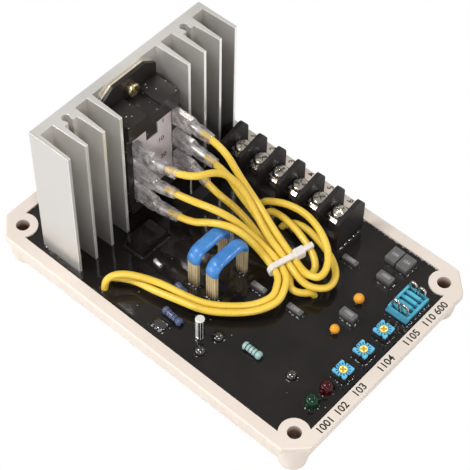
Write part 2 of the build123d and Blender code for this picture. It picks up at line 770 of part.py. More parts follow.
# Lamps
def make_lamp(x, y):
    lamp = rod(x, y, BOARD_Z, LAMP_DOME_Z, LAMP_R)
    lamp = lamp + Pos(x, y, LAMP_DOME_Z) * Sphere(LAMP_R)
    return lamp + rod(x, y, BOARD_Z, BOARD_Z + 1.0, LAMP_RIM_R)


# Trimmers
def square(x, y, side, z0, z1):
    return box(x - side / 2, x + side / 2, y - side / 2, y + side / 2, z0, z1)


def make_trimmer_cover(x, y):
    low = TRIM_TOP - TRIM_COVER_T
    cover = square(x, y, TRIM_SIDE, low, TRIM_TOP)
    cover = softened(cover, cover.edges().filter_by(Axis.Z), 0.35)
    half = TRIM_SIDE / 2
    notch_places = [(half, -0.6), (-half, -1.1), (-1.2, half), (1.1, -half)]
    for dx, dy in notch_places:
        cover = cover - Pos(x + dx, y + dy, (low + TRIM_TOP) / 2) * Cylinder(0.55, TRIM_COVER_T)
    cover = cover + square(x, y, TRIM_NECK_SIDE, low - TRIM_NECK_T, low)
    cover = cover - rod(x, y, TRIM_TOP - TRIM_WELL_D, TRIM_TOP, TRIM_WELL_R)
    bore = STEM_R + STEM_PLAY
    return cover - rod(x, y, TRIM_TOP - TRIM_WELL_D - STEM_LEN - 0.2, TRIM_TOP, bore)


def make_trimmer_rotor(x, y):
    low = TRIM_TOP - TRIM_WELL_D
    rotor = rod(x, y, low, TRIM_TOP, ROTOR_R)
    for turn in (0, 90):
        bar = Box(2.3, ROTOR_SLOT, ROTOR_SLOT_D)
        rotor = rotor - Pos(x, y, TRIM_TOP - ROTOR_SLOT_D / 2) * Rot(0, 0, turn + 40) * bar
    return rotor + rod(x, y, low - STEM_LEN, low, STEM_R)


def make_substrates():
    bases = []
    for y in TRIM_Y:
        bases.append(square(TRIM_X, y, TRIM_BASE_SIDE, BOARD_Z, BASE_TOP))
    return Compound(children=bases)


# Jumper header
def slot_places():
    first = HEAD_Y1 - 1.1 - (SLOT_COUNT - 1) * SLOT_PITCH
    return [first + i * SLOT_PITCH for i in range(SLOT_COUNT)]


def make_header():
    body = box(HEAD_X0, HEAD_X1, HEAD_Y0, HEAD_Y1, BOARD_Z, HEAD_TOP)
    body = body - box(HEAD_X0, HEAD_X1, HEAD_Y0, HEAD_Y0 + HEAD_STEP_Y,
                      HEAD_TOP - HEAD_STEP_Z, HEAD_TOP)
    for y in slot_places():
        x0 = HEAD_X0 + SLOT_END
        x1 = HEAD_X1 - SLOT_END
        body = body - box(x0, x1, y - SLOT_W / 2, y + SLOT_W / 2, HEAD_TOP - SLOT_D, HEAD_TOP)
    return body


def make_jumpers():
    wires = []
    places = slot_places()
    mid = (HEAD_X0 + HEAD_X1) / 2
    floor = HEAD_TOP - SLOT_D
    for i in (0, SLOT_COUNT - 1):
        for x in (mid - JUMPER_X, mid + JUMPER_X):
            y = places[i]
            high = HEAD_TOP + JUMPER_RISE
            half = JUMPER_SPAN / 2
            path = FilletPolyline(
                (x - half, y, floor),
                (x - half, y, high),
                (x + half, y, high),
                (x + half, y, floor),
                radius=half * 0.9,
            )
            section = Plane(origin=path @ 0, z_dir=path % 0) * Circle(JUMPER_R)
            wires.append(sweep(section, path=path))
    return Compound(children=wires)


# Small board parts
def make_box_parts(boxes):
    parts = []
    for x0, x1, y0, y1, top in boxes:
        part = box(x0, x1, y0, y1, BOARD_Z, top)
        edges = part.edges().group_by(Axis.Z)[-1]
        parts.append(softened(part, edges, 0.25))
    return Compound(children=parts)


def make_bead(x, y, r):
    bead = Pos(x, y, BEAD_Z) * Sphere(r)
    return bead + rod(x, y, BOARD_Z, BEAD_Z, 0.6 * r)


def make_resistor(a, b, z):
    a = Vector(a[0], a[1], z)
    b = Vector(b[0], b[1], z)
    along = (b - a).normalized()
    body = rod_along(a, b, RES_R)
    first = rod_along(a, a + along * RES_END_LEN, RES_END_R)
    last = rod_along(b - along * RES_END_LEN, b, RES_END_R)
    first = softened(first, first.edges().filter_by(GeomType.CIRCLE), 0.55)
    last = softened(last, last.edges().filter_by(GeomType.CIRCLE), 0.55)
    body = body + first + last
    for end, sign in ((a, -1), (b, 1)):
        tip = end + along * (sign * 1.2)
        body = body + rod_along(end, tip, LEAD_R)
        body = body + Pos(*tip) * Sphere(LEAD_R)
        body = body + rod_along(tip, (tip.X, tip.Y, BOARD_Z), LEAD_R)
    return body


def make_can():
    can = rod(CAN_X, CAN_Y, BOARD_Z, CAN_TOP, CAN_R)
    can = softened(can, can.edges().group_by(Axis.Z)[-1], 0.4)
    groove = rod(CAN_X, CAN_Y, BOARD_Z + 5.2, BOARD_Z + 5.8, CAN_R)
    return can - (groove - rod(CAN_X, CAN_Y, BOARD_Z + 5.0, BOARD_Z + 6.0, CAN_R - 0.25))


def make_domes():
    parts = []
    for x, y in DOMES:
        dome = rod(x, y, BOARD_Z, DOME_Z, DOME_R)
        parts.append(dome + Pos(x, y, DOME_Z) * Sphere(DOME_R))
    return Compound(children=parts)


def make_opto():
    x0, x1, y0, y1, top = OPTO
    body = box(x0 + 0.7, x1 - 0.7, y0, y1, BOARD_Z, top)
    for x in (x0 + 0.35, x1 - 0.35):
        for y in (y0 + 0.7, y1 - 0.7):
            half = OPTO_LEAD_W / 2
            body = body + box(x - 0.35, x + 0.35, y - half / 2, y + half / 2, BOARD_Z, top - 0.7)
    return body


def make_axial():
    a, b, z = AXIAL
    return rod_along((a[0], a[1], z), (b[0], b[1], z), AXIAL_R)


def make_low_box():
    x0, x1, y0, y1, top = LOW_BOX
    part = box(x0, x1, y0, y1, BOARD_Z, top)
    return softened(part, part.edges().group_by(Axis.Z)[-1], 0.4)


def make_long_box():
    x0, x1, y0, y1, top = LONG_BOX
    part = box(x0, x1, y0, y1, BOARD_Z, top)
    return softened(part, part.edges().group_by(Axis.Z)[-1], 0.3)


parts = {}
parts["case"] = make_case()
parts["circuit_board"] = make_board()
parts["heat_sink"] = make_sink()
parts["heat_sink_screws"] = make_sink_screws()
parts["module_base_plate"] = make_plate()
parts["module_body"] = make_module_body()
parts["module_face"] = make_face_plate()
parts["module_tabs_right"] = make_tabs(TAB_Y_RIGHT, TAB_Z_RIGHT)
parts["module_tabs_left"] = make_tabs(TAB_Y_LEFT, TAB_Z_LEFT)
parts["module_screws"] = make_module_screws()

for side, y, z_top, ends in (
    ("right", TAB_Y_RIGHT, TAB_Z_RIGHT, SLEEVE_END_R),
    ("left", TAB_Y_LEFT, TAB_Z_LEFT, SLEEVE_END_L),
):
    contacts = []
    sleeves = []
    for i in range(3):
        z = z_top - i * TAB_PITCH
        contacts.append(make_contact(y, z, ends[i]))
        sleeves.append(make_sleeve(y, z, ends[i]))
    parts["contacts_" + side] = Compound(children=contacts)
    parts["sleeves_" + side] = Compound(children=sleeves)

for name in WIRES:
    parts[name] = make_wire(name)
parts["cable_tie"] = make_tie()
parts["terminal_block"] = make_block()
parts["terminal_plates"] = make_terminal_plates()
parts["clamp_washers"] = make_clamp_washers()
parts["terminal_screws"] = make_terminal_screws()
parts["link_1_conductor"] = make_conductor(LINK_X_RIGHT)
parts["link_1_sleeve"] = make_link_sleeve(LINK_X_RIGHT)
parts["link_2_conductor"] = make_conductor(LINK_X_LEFT)
parts["link_2_sleeve"] = make_link_sleeve(LINK_X_LEFT)
for name, x, y in LAMPS:
    parts[name] = make_lamp(x, y)
for i, y in enumerate(TRIM_Y):
    parts["trimmer_cover_%d" % (i + 1)] = make_trimmer_cover(TRIM_X, y)
    parts["trimmer_rotor_%d" % (i + 1)] = make_trimmer_rotor(TRIM_X, y)
parts["trimmer_substrates"] = make_substrates()
parts["jumper_header"] = make_header()
parts["jumper_wires"] = make_jumpers()
for name, boxes in BOX_CAPS.items():
    parts[name] = make_box_parts(boxes)
parts["bead_capacitors"] = Compound(children=[make_bead(*bead) for bead in BEADS])
for name, a, b, z in RESISTORS:
    parts[name] = make_resistor(a, b, z)
parts["electrolytic_can"] = make_can()
parts["potted_domes"] = make_domes()
parts["optocoupler"] = make_opto()
parts["axial_part"] = make_axial()
parts["low_box"] = make_low_box()
parts["long_box"] = make_long_box()


# Potting: the tray's hollow, less everything that stands in it
def make_potting():
    resin = make_cavity() & box(-CASE_L, CASE_L, -CASE_W, CASE_W, FLOOR_Z, RESIN_Z)
    for name, part in parts.items():
        if name == "case":
            continue
        low = part.bounding_box().min.Z
        if low > RESIN_Z:
            continue
        if name == "bead_capacitors":
            for bead in BEADS:
                resin = resin - make_bead(*bead)
            continue
        for solid in part.solids():
            resin = resin - solid
    return resin


parts["potting_resin"] = make_potting()

for name, part in parts.items():
    export_step(part, "parts/" + name + ".step")
    print(name, len(part.solids()), round(part.volume, 1))
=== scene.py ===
import math

import bmesh
import bpy
import numpy as np
from bpy.props import FloatProperty, FloatVectorProperty, PointerProperty
from mathutils import Matrix, Vector


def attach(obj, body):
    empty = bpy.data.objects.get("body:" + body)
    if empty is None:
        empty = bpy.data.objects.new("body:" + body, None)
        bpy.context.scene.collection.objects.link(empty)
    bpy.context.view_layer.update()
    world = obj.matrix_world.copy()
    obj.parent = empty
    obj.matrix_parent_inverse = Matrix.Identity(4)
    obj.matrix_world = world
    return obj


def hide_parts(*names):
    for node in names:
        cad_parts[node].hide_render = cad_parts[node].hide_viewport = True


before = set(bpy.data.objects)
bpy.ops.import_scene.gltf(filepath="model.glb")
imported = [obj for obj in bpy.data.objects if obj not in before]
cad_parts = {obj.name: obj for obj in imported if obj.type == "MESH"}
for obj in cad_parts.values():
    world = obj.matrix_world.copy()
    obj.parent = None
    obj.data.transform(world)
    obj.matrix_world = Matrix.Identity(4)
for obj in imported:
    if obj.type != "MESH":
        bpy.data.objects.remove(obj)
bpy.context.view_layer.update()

bl_info = {
    "name": "Voltage regulator",
    "version": (1, 0, 0),
    "blender": (4, 5, 0),
    "location": "View3D > Sidebar > Regulator",
    "description": "Gives the packed voltage regulator its finished pieces and materials",
    "category": "Object",
}

MM = 0.001
BODY = "regulator"

# Case and resin, in millimetres
RIM_Z = 16.7
RESIN_Z = 15.65
CAVITY_L = 139.4
CAVITY_W = 91.3
BOSS_R = 5.7
HOLE_X = 66.3
HOLE_Y = 42.2
# Painted shade inside the mounting holes: its radius, and the heights where it starts and is full
BORE_SHADE_R = 2.7
BORE_SHADE_TOP = 16.6
BORE_SHADE_LOW = 13.5

# Trimmers and the ticks on their covers, in millimetres
TRIM_X = 63.8
TRIM_FIRST_Y = -13.3
TRIM_PITCH = 11.35
TICK_COUNT = 14
TICK_SHARE = 0.48
TICK_INNER = 1.95
TICK_OUTER = 2.7
TICK_Z = 20.1

# Default greys of the node groups, and the share of a cell that a speck of dust takes
GREY = (0.8, 0.8, 0.8, 1.0)
DARK_GREY = (0.2, 0.2, 0.2, 1.0)
UP = (0.0, 0.0, 1.0)
SPECK_SIZE = 0.17

GROUPS = {}
FINISHES = {}


# Colours and shader nodes
def ink(red, green, blue):
    channels = []
    for value in (red, green, blue):
        c = value / 255
        channels.append(c / 12.92 if c <= 0.04045 else ((c + 0.055) / 1.055) ** 2.4)
    return (*channels, 1.0)


def add_node(tree, kind, sockets=(), **values):
    """Adds a node, sets its properties, and gives its sockets a value or a link"""
    node = tree.nodes.new(kind)
    for key, value in values.items():
        setattr(node, key, value)
    for label, value in dict(sockets).items():
        if isinstance(value, bpy.types.NodeSocket):
            tree.links.new(value, node.inputs[label])
        else:
            node.inputs[label].default_value = value
    return node


def maths(tree, operation, *values):
    return add_node(tree, "ShaderNodeMath", enumerate(values), operation=operation).outputs[0]


def product(tree, first, *others):
    for other in others:
        first = maths(tree, "MULTIPLY", first, other)
    return first


def square_sum(tree, x, y):
    return maths(tree, "ADD", product(tree, x, x), product(tree, y, y))


def vector_maths(tree, operation, first, second):
    node = add_node(tree, "ShaderNodeVectorMath", {0: first, 1: second}, operation=operation)
    return node.outputs["Value" if operation == "DOT_PRODUCT" else 0]


def object_place(tree):
    return add_node(tree, "ShaderNodeTexCoord").outputs["Object"]


def object_axes(tree):
    return add_node(tree, "ShaderNodeSeparateXYZ", {0: object_place(tree)}).outputs


def noise(tree, place, scale, detail):
    sockets = {"Vector": place, "Scale": scale, "Detail": detail}
    return add_node(tree, "ShaderNodeTexNoise", sockets).outputs["Fac"]


def map_range(tree, value, low, high, to_low=0.0, to_high=1.0, **values):
    sockets = {"Value": value, "From Min": low, "From Max": high, "To Min": to_low, "To Max": to_high}
    return add_node(tree, "ShaderNodeMapRange", sockets, **values).outputs["Result"]


def blend(tree, mask, first, second):
    sockets = {"Factor": mask, "A": first, "B": second}
    return add_node(tree, "ShaderNodeMix", sockets, data_type="RGBA").outputs["Result"]


# Effects that several materials use, each as a node group
def start_group(name, **defaults):
    """The kind of each input follows from its default: number, vector or colour"""
    tree = bpy.data.node_groups.new(name, "ShaderNodeTree")
    kinds = {3: "NodeSocketVector", 4: "NodeSocketColor"}
    for key, default in defaults.items():
        kind = "NodeSocketFloat" if isinstance(default, float) else kinds[len(default)]
        label = key.replace("_", " ").title()
        socket = tree.interface.new_socket(name=label, in_out="INPUT", socket_type=kind)
        socket.default_value = default
    GROUPS[name] = tree
    return tree, tree.nodes.new("NodeGroupInput").outputs


def end_group(tree, **results):
    for label in results:
        kind = "NodeSocketColor" if label == "Color" else "NodeSocketFloat"
        tree.interface.new_socket(name=label, in_out="OUTPUT", socket_type=kind)
    add_node(tree, "NodeGroupOutput", results)


def make_grain_group():
    tree, given = start_group("Surface grain", scale=800.0, low=0.4, high=0.5)
    grain = noise(tree, object_place(tree), given["Scale"], 4.0)
    end_group(tree, Value=map_range(tree, grain, 0.3, 0.7, given["Low"], given["High"]), Height=grain)


def make_streak_group():
    tree, given = start_group("Lengthwise streaks", stretch=(1500.0, 1500.0, 12.0), low=0.0, high=1.0)
    lines = noise(tree, vector_maths(tree, "MULTIPLY", object_place(tree), given["Stretch"]), 1.0, 3.0)
    end_group(tree, Value=map_range(tree, lines, 0.3, 0.7, given["Low"], given["High"]), Height=lines)


def make_drift_group():
    tree, given = start_group("Colour drift", color=GREY, second=DARK_GREY, scale=60.0, amount=0.5)
    cloud = noise(tree, object_place(tree), given["Scale"], 3.0)
    mask = map_range(tree, cloud, 0.35, 0.65, 0.0, given["Amount"])
    end_group(tree, Color=blend(tree, mask, given["Color"], given["Second"]))


# Blends towards a second colour along a direction: some materials use it for painted shade and painted
# highlights, others for their real two-tone colour
def make_height_group():
    tree, given = start_group("Height shade", color=GREY, low_color=DARK_GREY, way=UP, low=0.0, high=0.01)
    along = vector_maths(tree, "DOT_PRODUCT", object_place(tree), given["Way"])
    mask = map_range(tree, along, given["Low"], given["High"])
    end_group(tree, Color=blend(tree, mask, given["Low Color"], given["Color"]))


def make_band_group():
    tree, given = start_group("Colour bands", color=GREY, band_color=DARK_GREY, origin=(0.0, 0.0, 0.0),
                              way=(1.0, 0.0, 0.0), pitch=0.0015, share=0.4, count=5.0)
    apart = vector_maths(tree, "SUBTRACT", object_place(tree), given["Origin"])
    along = vector_maths(tree, "DOT_PRODUCT", apart, given["Way"])
    steps = maths(tree, "DIVIDE", along, given["Pitch"])
    banded = maths(tree, "LESS_THAN", maths(tree, "FRACT", steps), given["Share"])
    above = maths(tree, "GREATER_THAN", steps, 0.0)
    below = maths(tree, "LESS_THAN", steps, given["Count"])
    mask = product(tree, banded, above, below)
    end_group(tree, Color=blend(tree, mask, given["Color"], given["Band Color"]))


def make_dial_group():
    tree, given = start_group("Dial ticks", color=GREY, mark_color=DARK_GREY)
    x, y, z = object_axes(tree)
    x = maths(tree, "SUBTRACT", x, TRIM_X * MM)
    half = TRIM_PITCH / 2
    y = maths(tree, "WRAP", y, (TRIM_FIRST_Y + half) * MM, (TRIM_FIRST_Y - half) * MM)
    y = maths(tree, "SUBTRACT", y, TRIM_FIRST_Y * MM)
    turns = product(tree, maths(tree, "ARCTAN2", y, x), TICK_COUNT / (2 * math.pi))
    reach = maths(tree, "SQRT", square_sum(tree, x, y))
    ticked = maths(tree, "LESS_THAN", maths(tree, "FRACT", turns), TICK_SHARE)
    outside = maths(tree, "GREATER_THAN", reach, TICK_INNER * MM)
    inside = maths(tree, "LESS_THAN", reach, TICK_OUTER * MM)
    on_top = maths(tree, "GREATER_THAN", z, TICK_Z * MM)
    mask = product(tree, ticked, outside, inside, on_top)
    end_group(tree, Color=blend(tree, mask, given["Color"], given["Mark Color"]))


# Painted shade: the case turns brown and darker deeper down inside the mounting holes
def make_bore_group():
    tree, given = start_group("Bore shade", color=GREY, low_color=DARK_GREY)
    x, y, z = object_axes(tree)
    x = maths(tree, "SUBTRACT", maths(tree, "ABSOLUTE", x), HOLE_X * MM)
    y = maths(tree, "SUBTRACT", maths(tree, "ABSOLUTE", y), HOLE_Y * MM)
    inside = maths(tree, "LESS_THAN", square_sum(tree, x, y), (BORE_SHADE_R * MM) ** 2)
    depth = map_range(tree, z, BORE_SHADE_TOP * MM, BORE_SHADE_LOW * MM)
    end_group(tree, Color=blend(tree, product(tree, inside, depth), given["Color"], given["Low Color"]))


def make_dust_group():
    tree, given = start_group("Dust specks", color=GREY, speck_color=DARK_GREY, scale=900.0, share=0.06)
    cells = add_node(tree, "ShaderNodeTexVoronoi", {"Vector": object_place(tree), "Scale": given["Scale"]})
    near = maths(tree, "LESS_THAN", cells.outputs["Distance"], SPECK_SIZE)
    draw = add_node(tree, "ShaderNodeSeparateColor", {0: cells.outputs["Color"]}).outputs[0]
    chosen = maths(tree, "LESS_THAN", draw, given["Share"])
    end_group(tree, Color=blend(tree, product(tree, near, chosen), given["Color"], given["Speck Color"]))


GROUP_MAKERS = (
    make_grain_group, make_drift_group, make_streak_group, make_height_group,
    make_band_group, make_dial_group, make_bore_group, make_dust_group,
)


def place_group(tree, name, **values):
    node = tree.nodes.new("ShaderNodeGroup")
    node.node_tree = GROUPS[name]
    for key, value in values.items():
        node.inputs[key.replace("_", " ").title()].default_value = value
    return node


def dust_tint(colour, scale, share):
    return "Dust specks", {"speck_color": ink(*colour), "scale": scale, "share": share}


def height_tint(colour, low, high, way=UP):
    return "Height shade", {"low_color": ink(*colour), "way": way, "low": low * MM, "high": high * MM}


def band_tint(colour, x, y, way, pitch, share, count):
    return "Colour bands", {"band_color": ink(*colour), "origin": (x * MM, y * MM, 0.0), "way": way,
                            "pitch": pitch * MM, "share": share, "count": count}


def finish(name, base, second, drift, rough, grain, bump=(0.1, 0.05), streaks=None, tint=(), clear=None,
           **shader):
    """Makes a material of two drifting colours, tints, uneven gloss, fine relief and a clear wall"""
    material = bpy.data.materials.new(name)
    material.use_nodes = True
    tree = material.node_tree
    link = tree.links.new
    surface = tree.nodes["Principled BSDF"]
    for key, value in shader.items():
        surface.inputs[key.replace("_", " ")].default_value = value
    colour = place_group(tree, "Colour drift", color=base, second=second, scale=drift[0], amount=drift[1])
    for group, values in tint:
        extra = place_group(tree, group, **values)
        link(colour.outputs["Color"], extra.inputs["Color"])
        colour = extra
    link(colour.outputs["Color"], surface.inputs["Base Color"])
    if streaks:
        pattern = place_group(tree, "Lengthwise streaks", stretch=streaks, low=rough[0], high=rough[1])
    else:
        pattern = place_group(tree, "Surface grain", scale=grain, low=rough[0], high=rough[1])
    link(pattern.outputs["Value"], surface.inputs["Roughness"])
    if clear:
        edge = add_node(tree, "ShaderNodeLayerWeight").outputs["Facing"]
        link(map_range(tree, edge, 0.0, 1.0, *clear), surface.inputs["Alpha"])
    if bump:
        height = pattern.outputs["Height"]
        sockets = {"Strength": bump[0], "Distance": bump[1] * MM, "Height": height}
        link(add_node(tree, "ShaderNodeBump", sockets).outputs["Normal"], surface.inputs["Normal"])
    return material


# Each finish: name, two colours, drift (scale, amount), roughness (low, high), grain, other values
FINISH_TABLE = {
    "case_plastic": (
        "Off white moulding", (220, 209, 199), (212, 200, 189), (25.0, 0.7), (0.38, 0.5), 900.0,
        # Painted shade: darker brown deep in the mounting holes
        {"bump": (0.25, 0.05), "tint": [("Bore shade", {"low_color": ink(120, 84, 60)})]}),
    "resin_black": (
        "Cast black resin", (34, 30, 28), (22, 20, 19), (45.0, 0.9), (0.03, 0.1), 60.0,
        {"bump": (0.25, 0.8), "tint": [dust_tint((150, 146, 140), 800.0, 0.008)],
         "Specular_IOR_Level": 0.36}),
    "dome_black": (
        "Clear capped black", (22, 20, 19), (14, 13, 12), (200.0, 0.6), (0.03, 0.07), 600.0,
        {"Specular_IOR_Level": 1.0, "Coat_Weight": 1.0}),
    "board_green": (
        "Board laminate", (40, 90, 60), (30, 80, 50), (60.0, 0.6), (0.4, 0.5), 800.0, {}),
    "sink_aluminium": (
        "Extruded aluminium", (232, 229, 225), (214, 211, 206), (40.0, 0.7), (0.29, 0.335), 900.0,
        {"bump": None, "streaks": (700.0, 700.0, 8.0), "Metallic": 0.64, "tint": [
            # Painted shade: the fins turn darker lower down and towards +y, where less light reaches between
            # them
            height_tint((118, 116, 112), 2.0, 64.0, (0.0, -0.45, 1.0)),
            # Painted shade: the outer face of the outermost fin, beyond y -42.7 mm, is a little duller, to
            # tone down the light it catches
            height_tint((208, 205, 201), -42.7, -42.3, (0.0, 1.0, 0.0)),
            # Painted highlight: the fin tips, where x is above -35.62 mm, are lighter, as if lit from the
            # front right
            height_tint((252, 250, 247), 35.62, 35.72, (-1.0, 0.0, 0.0))]}),
    "zinc_steel": (
        "Zinc plated steel", (190, 188, 184), (170, 168, 162), (300.0, 0.6), (0.25, 0.38), 1500.0,
        {"Metallic": 1.0}),
    "yellow_zinc": (
        "Yellow zinc plating", (226, 214, 176), (204, 190, 152), (400.0, 0.7), (0.2, 0.32), 1500.0,
        {"Metallic": 1.0}),
    "plate_dark": (
        "Plated base with a black face", (212, 202, 186), (188, 174, 154), (80.0, 0.6), (0.32, 0.44), 1200.0,
        {"Metallic": 0.4, "tint": [
            height_tint((46, 42, 39), 49.4, 49.6, (-1.0, 0.0, 0.0)),
            dust_tint((200, 196, 190), 700.0, 0.12)]}),
    "module_black": (
        "Black moulding", (46, 42, 40), (35, 32, 31), (120.0, 0.6), (0.34, 0.46), 1400.0,
        {"bump": (0.2, 0.03), "tint": [dust_tint((200, 196, 190), 700.0, 0.22)],
         "Specular_IOR_Level": 0.3}),
    "face_grey": (
        "Lilac grey face", (224, 214, 217), (210, 200, 204), (120.0, 0.6), (0.35, 0.48), 1400.0, {}),
    "tin_plate": (
        "Tin plate", (232, 228, 224), (204, 198, 192), (500.0, 0.7), (0.16, 0.3), 1800.0, {"Metallic": 0.6}),
    "sleeve_clear": (
        # Painted highlight and shade: the two colours mix fully in patches that stand in for the sleeve's
        # streaky reflections
        "Clear vinyl sleeve", (230, 226, 228), (112, 106, 110), (420.0, 1.0), (0.04, 0.12), 500.0,
        {"bump": (1.0, 0.6), "streaks": (110.0, 420.0, 420.0), "clear": (0.05, 0.75), "Coat_Weight": 1.0}),
    "wire_yellow": (
        "Yellow insulation", (231, 197, 76), (216, 179, 56), (90.0, 0.6), (0.24, 0.36), 500.0,
        {"bump": (0.1, 0.03)}),
    "tie_white": (
        "Milky nylon", (236, 231, 227), (222, 216, 210), (200.0, 0.6), (0.22, 0.34), 900.0,
        {"clear": (0.86, 1.0)}),
    "block_black": (
        "Matte black moulding", (36, 32, 32), (26, 23, 23), (90.0, 0.6), (0.42, 0.56), 1200.0,
        {"bump": (0.3, 0.04), "Specular_IOR_Level": 0.28}),
    "nickel": (
        "Bright nickel", (214, 209, 201), (180, 174, 164), (400.0, 0.7), (0.06, 0.17), 1600.0,
        {"Metallic": 1.0}),
    "braid_tan": (
        "Tan strands", (222, 206, 170), (184, 160, 120), (90.0, 0.7), (0.3, 0.45), 900.0,
        {"bump": (0.2, 0.05), "tint": [height_tint((96, 66, 36), 15.4, 19.5)], "Metallic": 0.35}),
    "sleeve_blue": (
        "Blue shrink sleeve", (66, 132, 198), (44, 102, 172), (180.0, 0.7), (0.18, 0.34), 700.0,
        {"bump": (0.3, 0.08)}),
    "lamp_green": (
        "Green lamp", (11, 50, 29), (6, 30, 17), (200.0, 0.5), (0.03, 0.07), 600.0,
        {"Specular_IOR_Level": 0.35}),
    "lamp_red": (
        "Red lamp", (60, 5, 10), (36, 3, 6), (200.0, 0.5), (0.03, 0.07), 600.0,
        {"Specular_IOR_Level": 0.35}),
    "trimmer_blue": (
        "Blue moulding", (98, 186, 220), (80, 166, 204), (300.0, 0.5), (0.38, 0.5), 1600.0,
        {"tint": [("Dial ticks", {"mark_color": ink(18, 70, 96)}), height_tint((16, 36, 48), 19.1, 19.6)]}),
    "rotor_yellow": (
        "Pale yellow moulding", (252, 238, 140), (240, 220, 110), (500.0, 0.5), (0.38, 0.5), 1600.0,
        # Painted shade: the cross slot below the rotor's top is darker and browner, as shade in the recess
        {"tint": [height_tint((196, 148, 44), 20.0, 20.12)]}),
    "header_teal": (
        "Teal moulding", (84, 180, 206), (58, 142, 176), (300.0, 0.6), (0.28, 0.42), 1600.0,
        # Painted shade: the slots and the lower sides darken towards the bottom, where shade falls
        {"tint": [height_tint((12, 40, 58), 16.9, 18.9)]}),
    "capacitor_grey": (
        "Grey moulding", (98, 97, 97), (80, 79, 79), (300.0, 0.5), (0.3, 0.42), 1600.0,
        # Painted shade: the sides darken towards the bottom, leaving the top lighter as the lit face
        {"tint": [height_tint((34, 33, 33), 16.2, 18.2)]}),
    "bead_orange": (
        "Orange dip", (240, 170, 52), (206, 122, 24), (400.0, 0.6), (0.1, 0.2), 900.0, {}),
    "resistor_aqua": (
        "Aqua lacquer", (150, 182, 178), (128, 164, 160), (400.0, 0.5), (0.15, 0.26), 900.0,
        {"tint": [band_tint((40, 52, 50), 31.6, -27.0, (1.0, 0.0, 0.0), 1.4, 0.26, 4.0)]}),
    "resistor_blue": (
        "Blue lacquer", (74, 88, 120), (56, 68, 96), (400.0, 0.5), (0.15, 0.26), 900.0,
        {"tint": [band_tint((22, 22, 40), 0.7, -34.8, (1.0, -0.07, 0.0), 1.5, 0.26, 4.0)]}),
    "ink_black": (
        "Black print", (32, 30, 30), (44, 42, 42), (300.0, 0.5), (0.45, 0.55), 900.0, {}),
    "ink_grey": (
        "Grey print", (168, 166, 164), (150, 148, 146), (300.0, 0.5), (0.45, 0.55), 900.0, {}),
    "can_foil": (
        "Can foil", (222, 222, 222), (204, 204, 204), (300.0, 0.5), (0.12, 0.2), 900.0,
        {"Metallic": 0.5, "tint": [
            band_tint((50, 48, 48), 15.8, -35.05, (0.76, 0.65, 0.0), 0.85, 0.7, 3.0),
            height_tint((236, 236, 234), -27.5, -27.2, (0.0, 0.0, -1.0)),
            height_tint((40, 38, 38), 16.4, 17.4)]}),
}

# Finishes whose first colour is a setting, and the settings that hold it
PICKED_COLOURS = {
    "case_plastic": "regulator_case", "resin_black": "regulator_resin", "wire_yellow": "regulator_wires",
}


def make_finishes(scene):
    for make_group in GROUP_MAKERS:
        make_group()
    for slot, (name, base, second, drift, rough, grain, others) in FINISH_TABLE.items():
        colour = ink(*base)
        if slot in PICKED_COLOURS:
            colour = getattr(scene, PICKED_COLOURS[slot]).colour
        FINISHES[slot] = finish(name, colour, ink(*second), drift, rough, grain, **others)


# Pieces that keep their CAD form: slot, edge radius in millimetres, steps of the rounding
DRESSED = {
    "case": ("case_plastic", 0.3, 3),
    "circuit_board": ("board_green", 0, 0),
    "heat_sink": ("sink_aluminium", 0.15, 2),
    "heat_sink_screws": ("zinc_steel", 0.15, 2),
    "module_base_plate": ("plate_nickel", 0.15, 2),
    "module_body": ("module_black", 0.3, 3),
    "module_face": ("face_grey", 0.12, 2),
    "module_tabs_right": ("tin_plate", 0.1, 2),
    "module_tabs_left": ("tin_plate", 0.1, 2),
    "contacts_right": ("tin_plate", 0.25, 2),
    "contacts_left": ("tin_plate", 0.25, 2),
    "terminal_block": ("block_black", 0.25, 3),
    "terminal_plates": ("nickel", 0.12, 2),
    "clamp_washers": ("nickel", 0.12, 2),
    "terminal_screws": ("nickel", 0.15, 2),
    "led_green": ("lamp_green", 0, 0),
    "led_red": ("lamp_red", 0, 0),
    "trimmer_cover": ("trimmer_blue", 0.12, 2),
    "trimmer_rotor": ("rotor_yellow", 0.06, 2),
    "trimmer_substrates": ("block_black", 0.12, 2),
    "box_capacitors_pair": ("capacitor_grey", 0.3, 3),
    "box_capacitor_mid": ("capacitor_grey", 0.3, 3),
    "box_capacitor_front": ("capacitor_grey", 0.3, 3),
    "slim_capacitor": ("capacitor_grey", 0.3, 3),
    "bead_capacitors": ("bead_orange", 0, 0),
    "electrolytic_can": ("sink_aluminium", 0.2, 3),
    "long_box": ("block_black", 0.12, 2),
}
# Pieces whose finish isn't the one that their slot is named for
LOOKS = {"module_base_plate": "plate_dark", "electrolytic_can": "can_foil"}
SMOOTH_ANGLE = 35.0
SINK_SMOOTH_ANGLE = 20.0
ROUND_ANGLE = 60.0
WEIGHTED_BELOW = 50.0


# Modelling helpers
def drop_selection():
    if bpy.context.mode != "OBJECT":
        bpy.ops.object.mode_set(mode="OBJECT")
    bpy.ops.object.select_all(action="DESELECT")


def take(piece):
    drop_selection()
    piece.select_set(True)
    bpy.context.view_layer.objects.active = piece
    return piece


def apply_place():
    bpy.ops.object.transform_apply(location=True, rotation=True, scale=True)


def open_mesh(piece):
    take(piece)
    bpy.ops.object.mode_set(mode="EDIT")


def close_mesh():
    bpy.ops.object.mode_set(mode="OBJECT")


def put_finish(piece, slot):
    piece.data.materials.clear()
    piece.data.materials.append(FINISHES[slot])


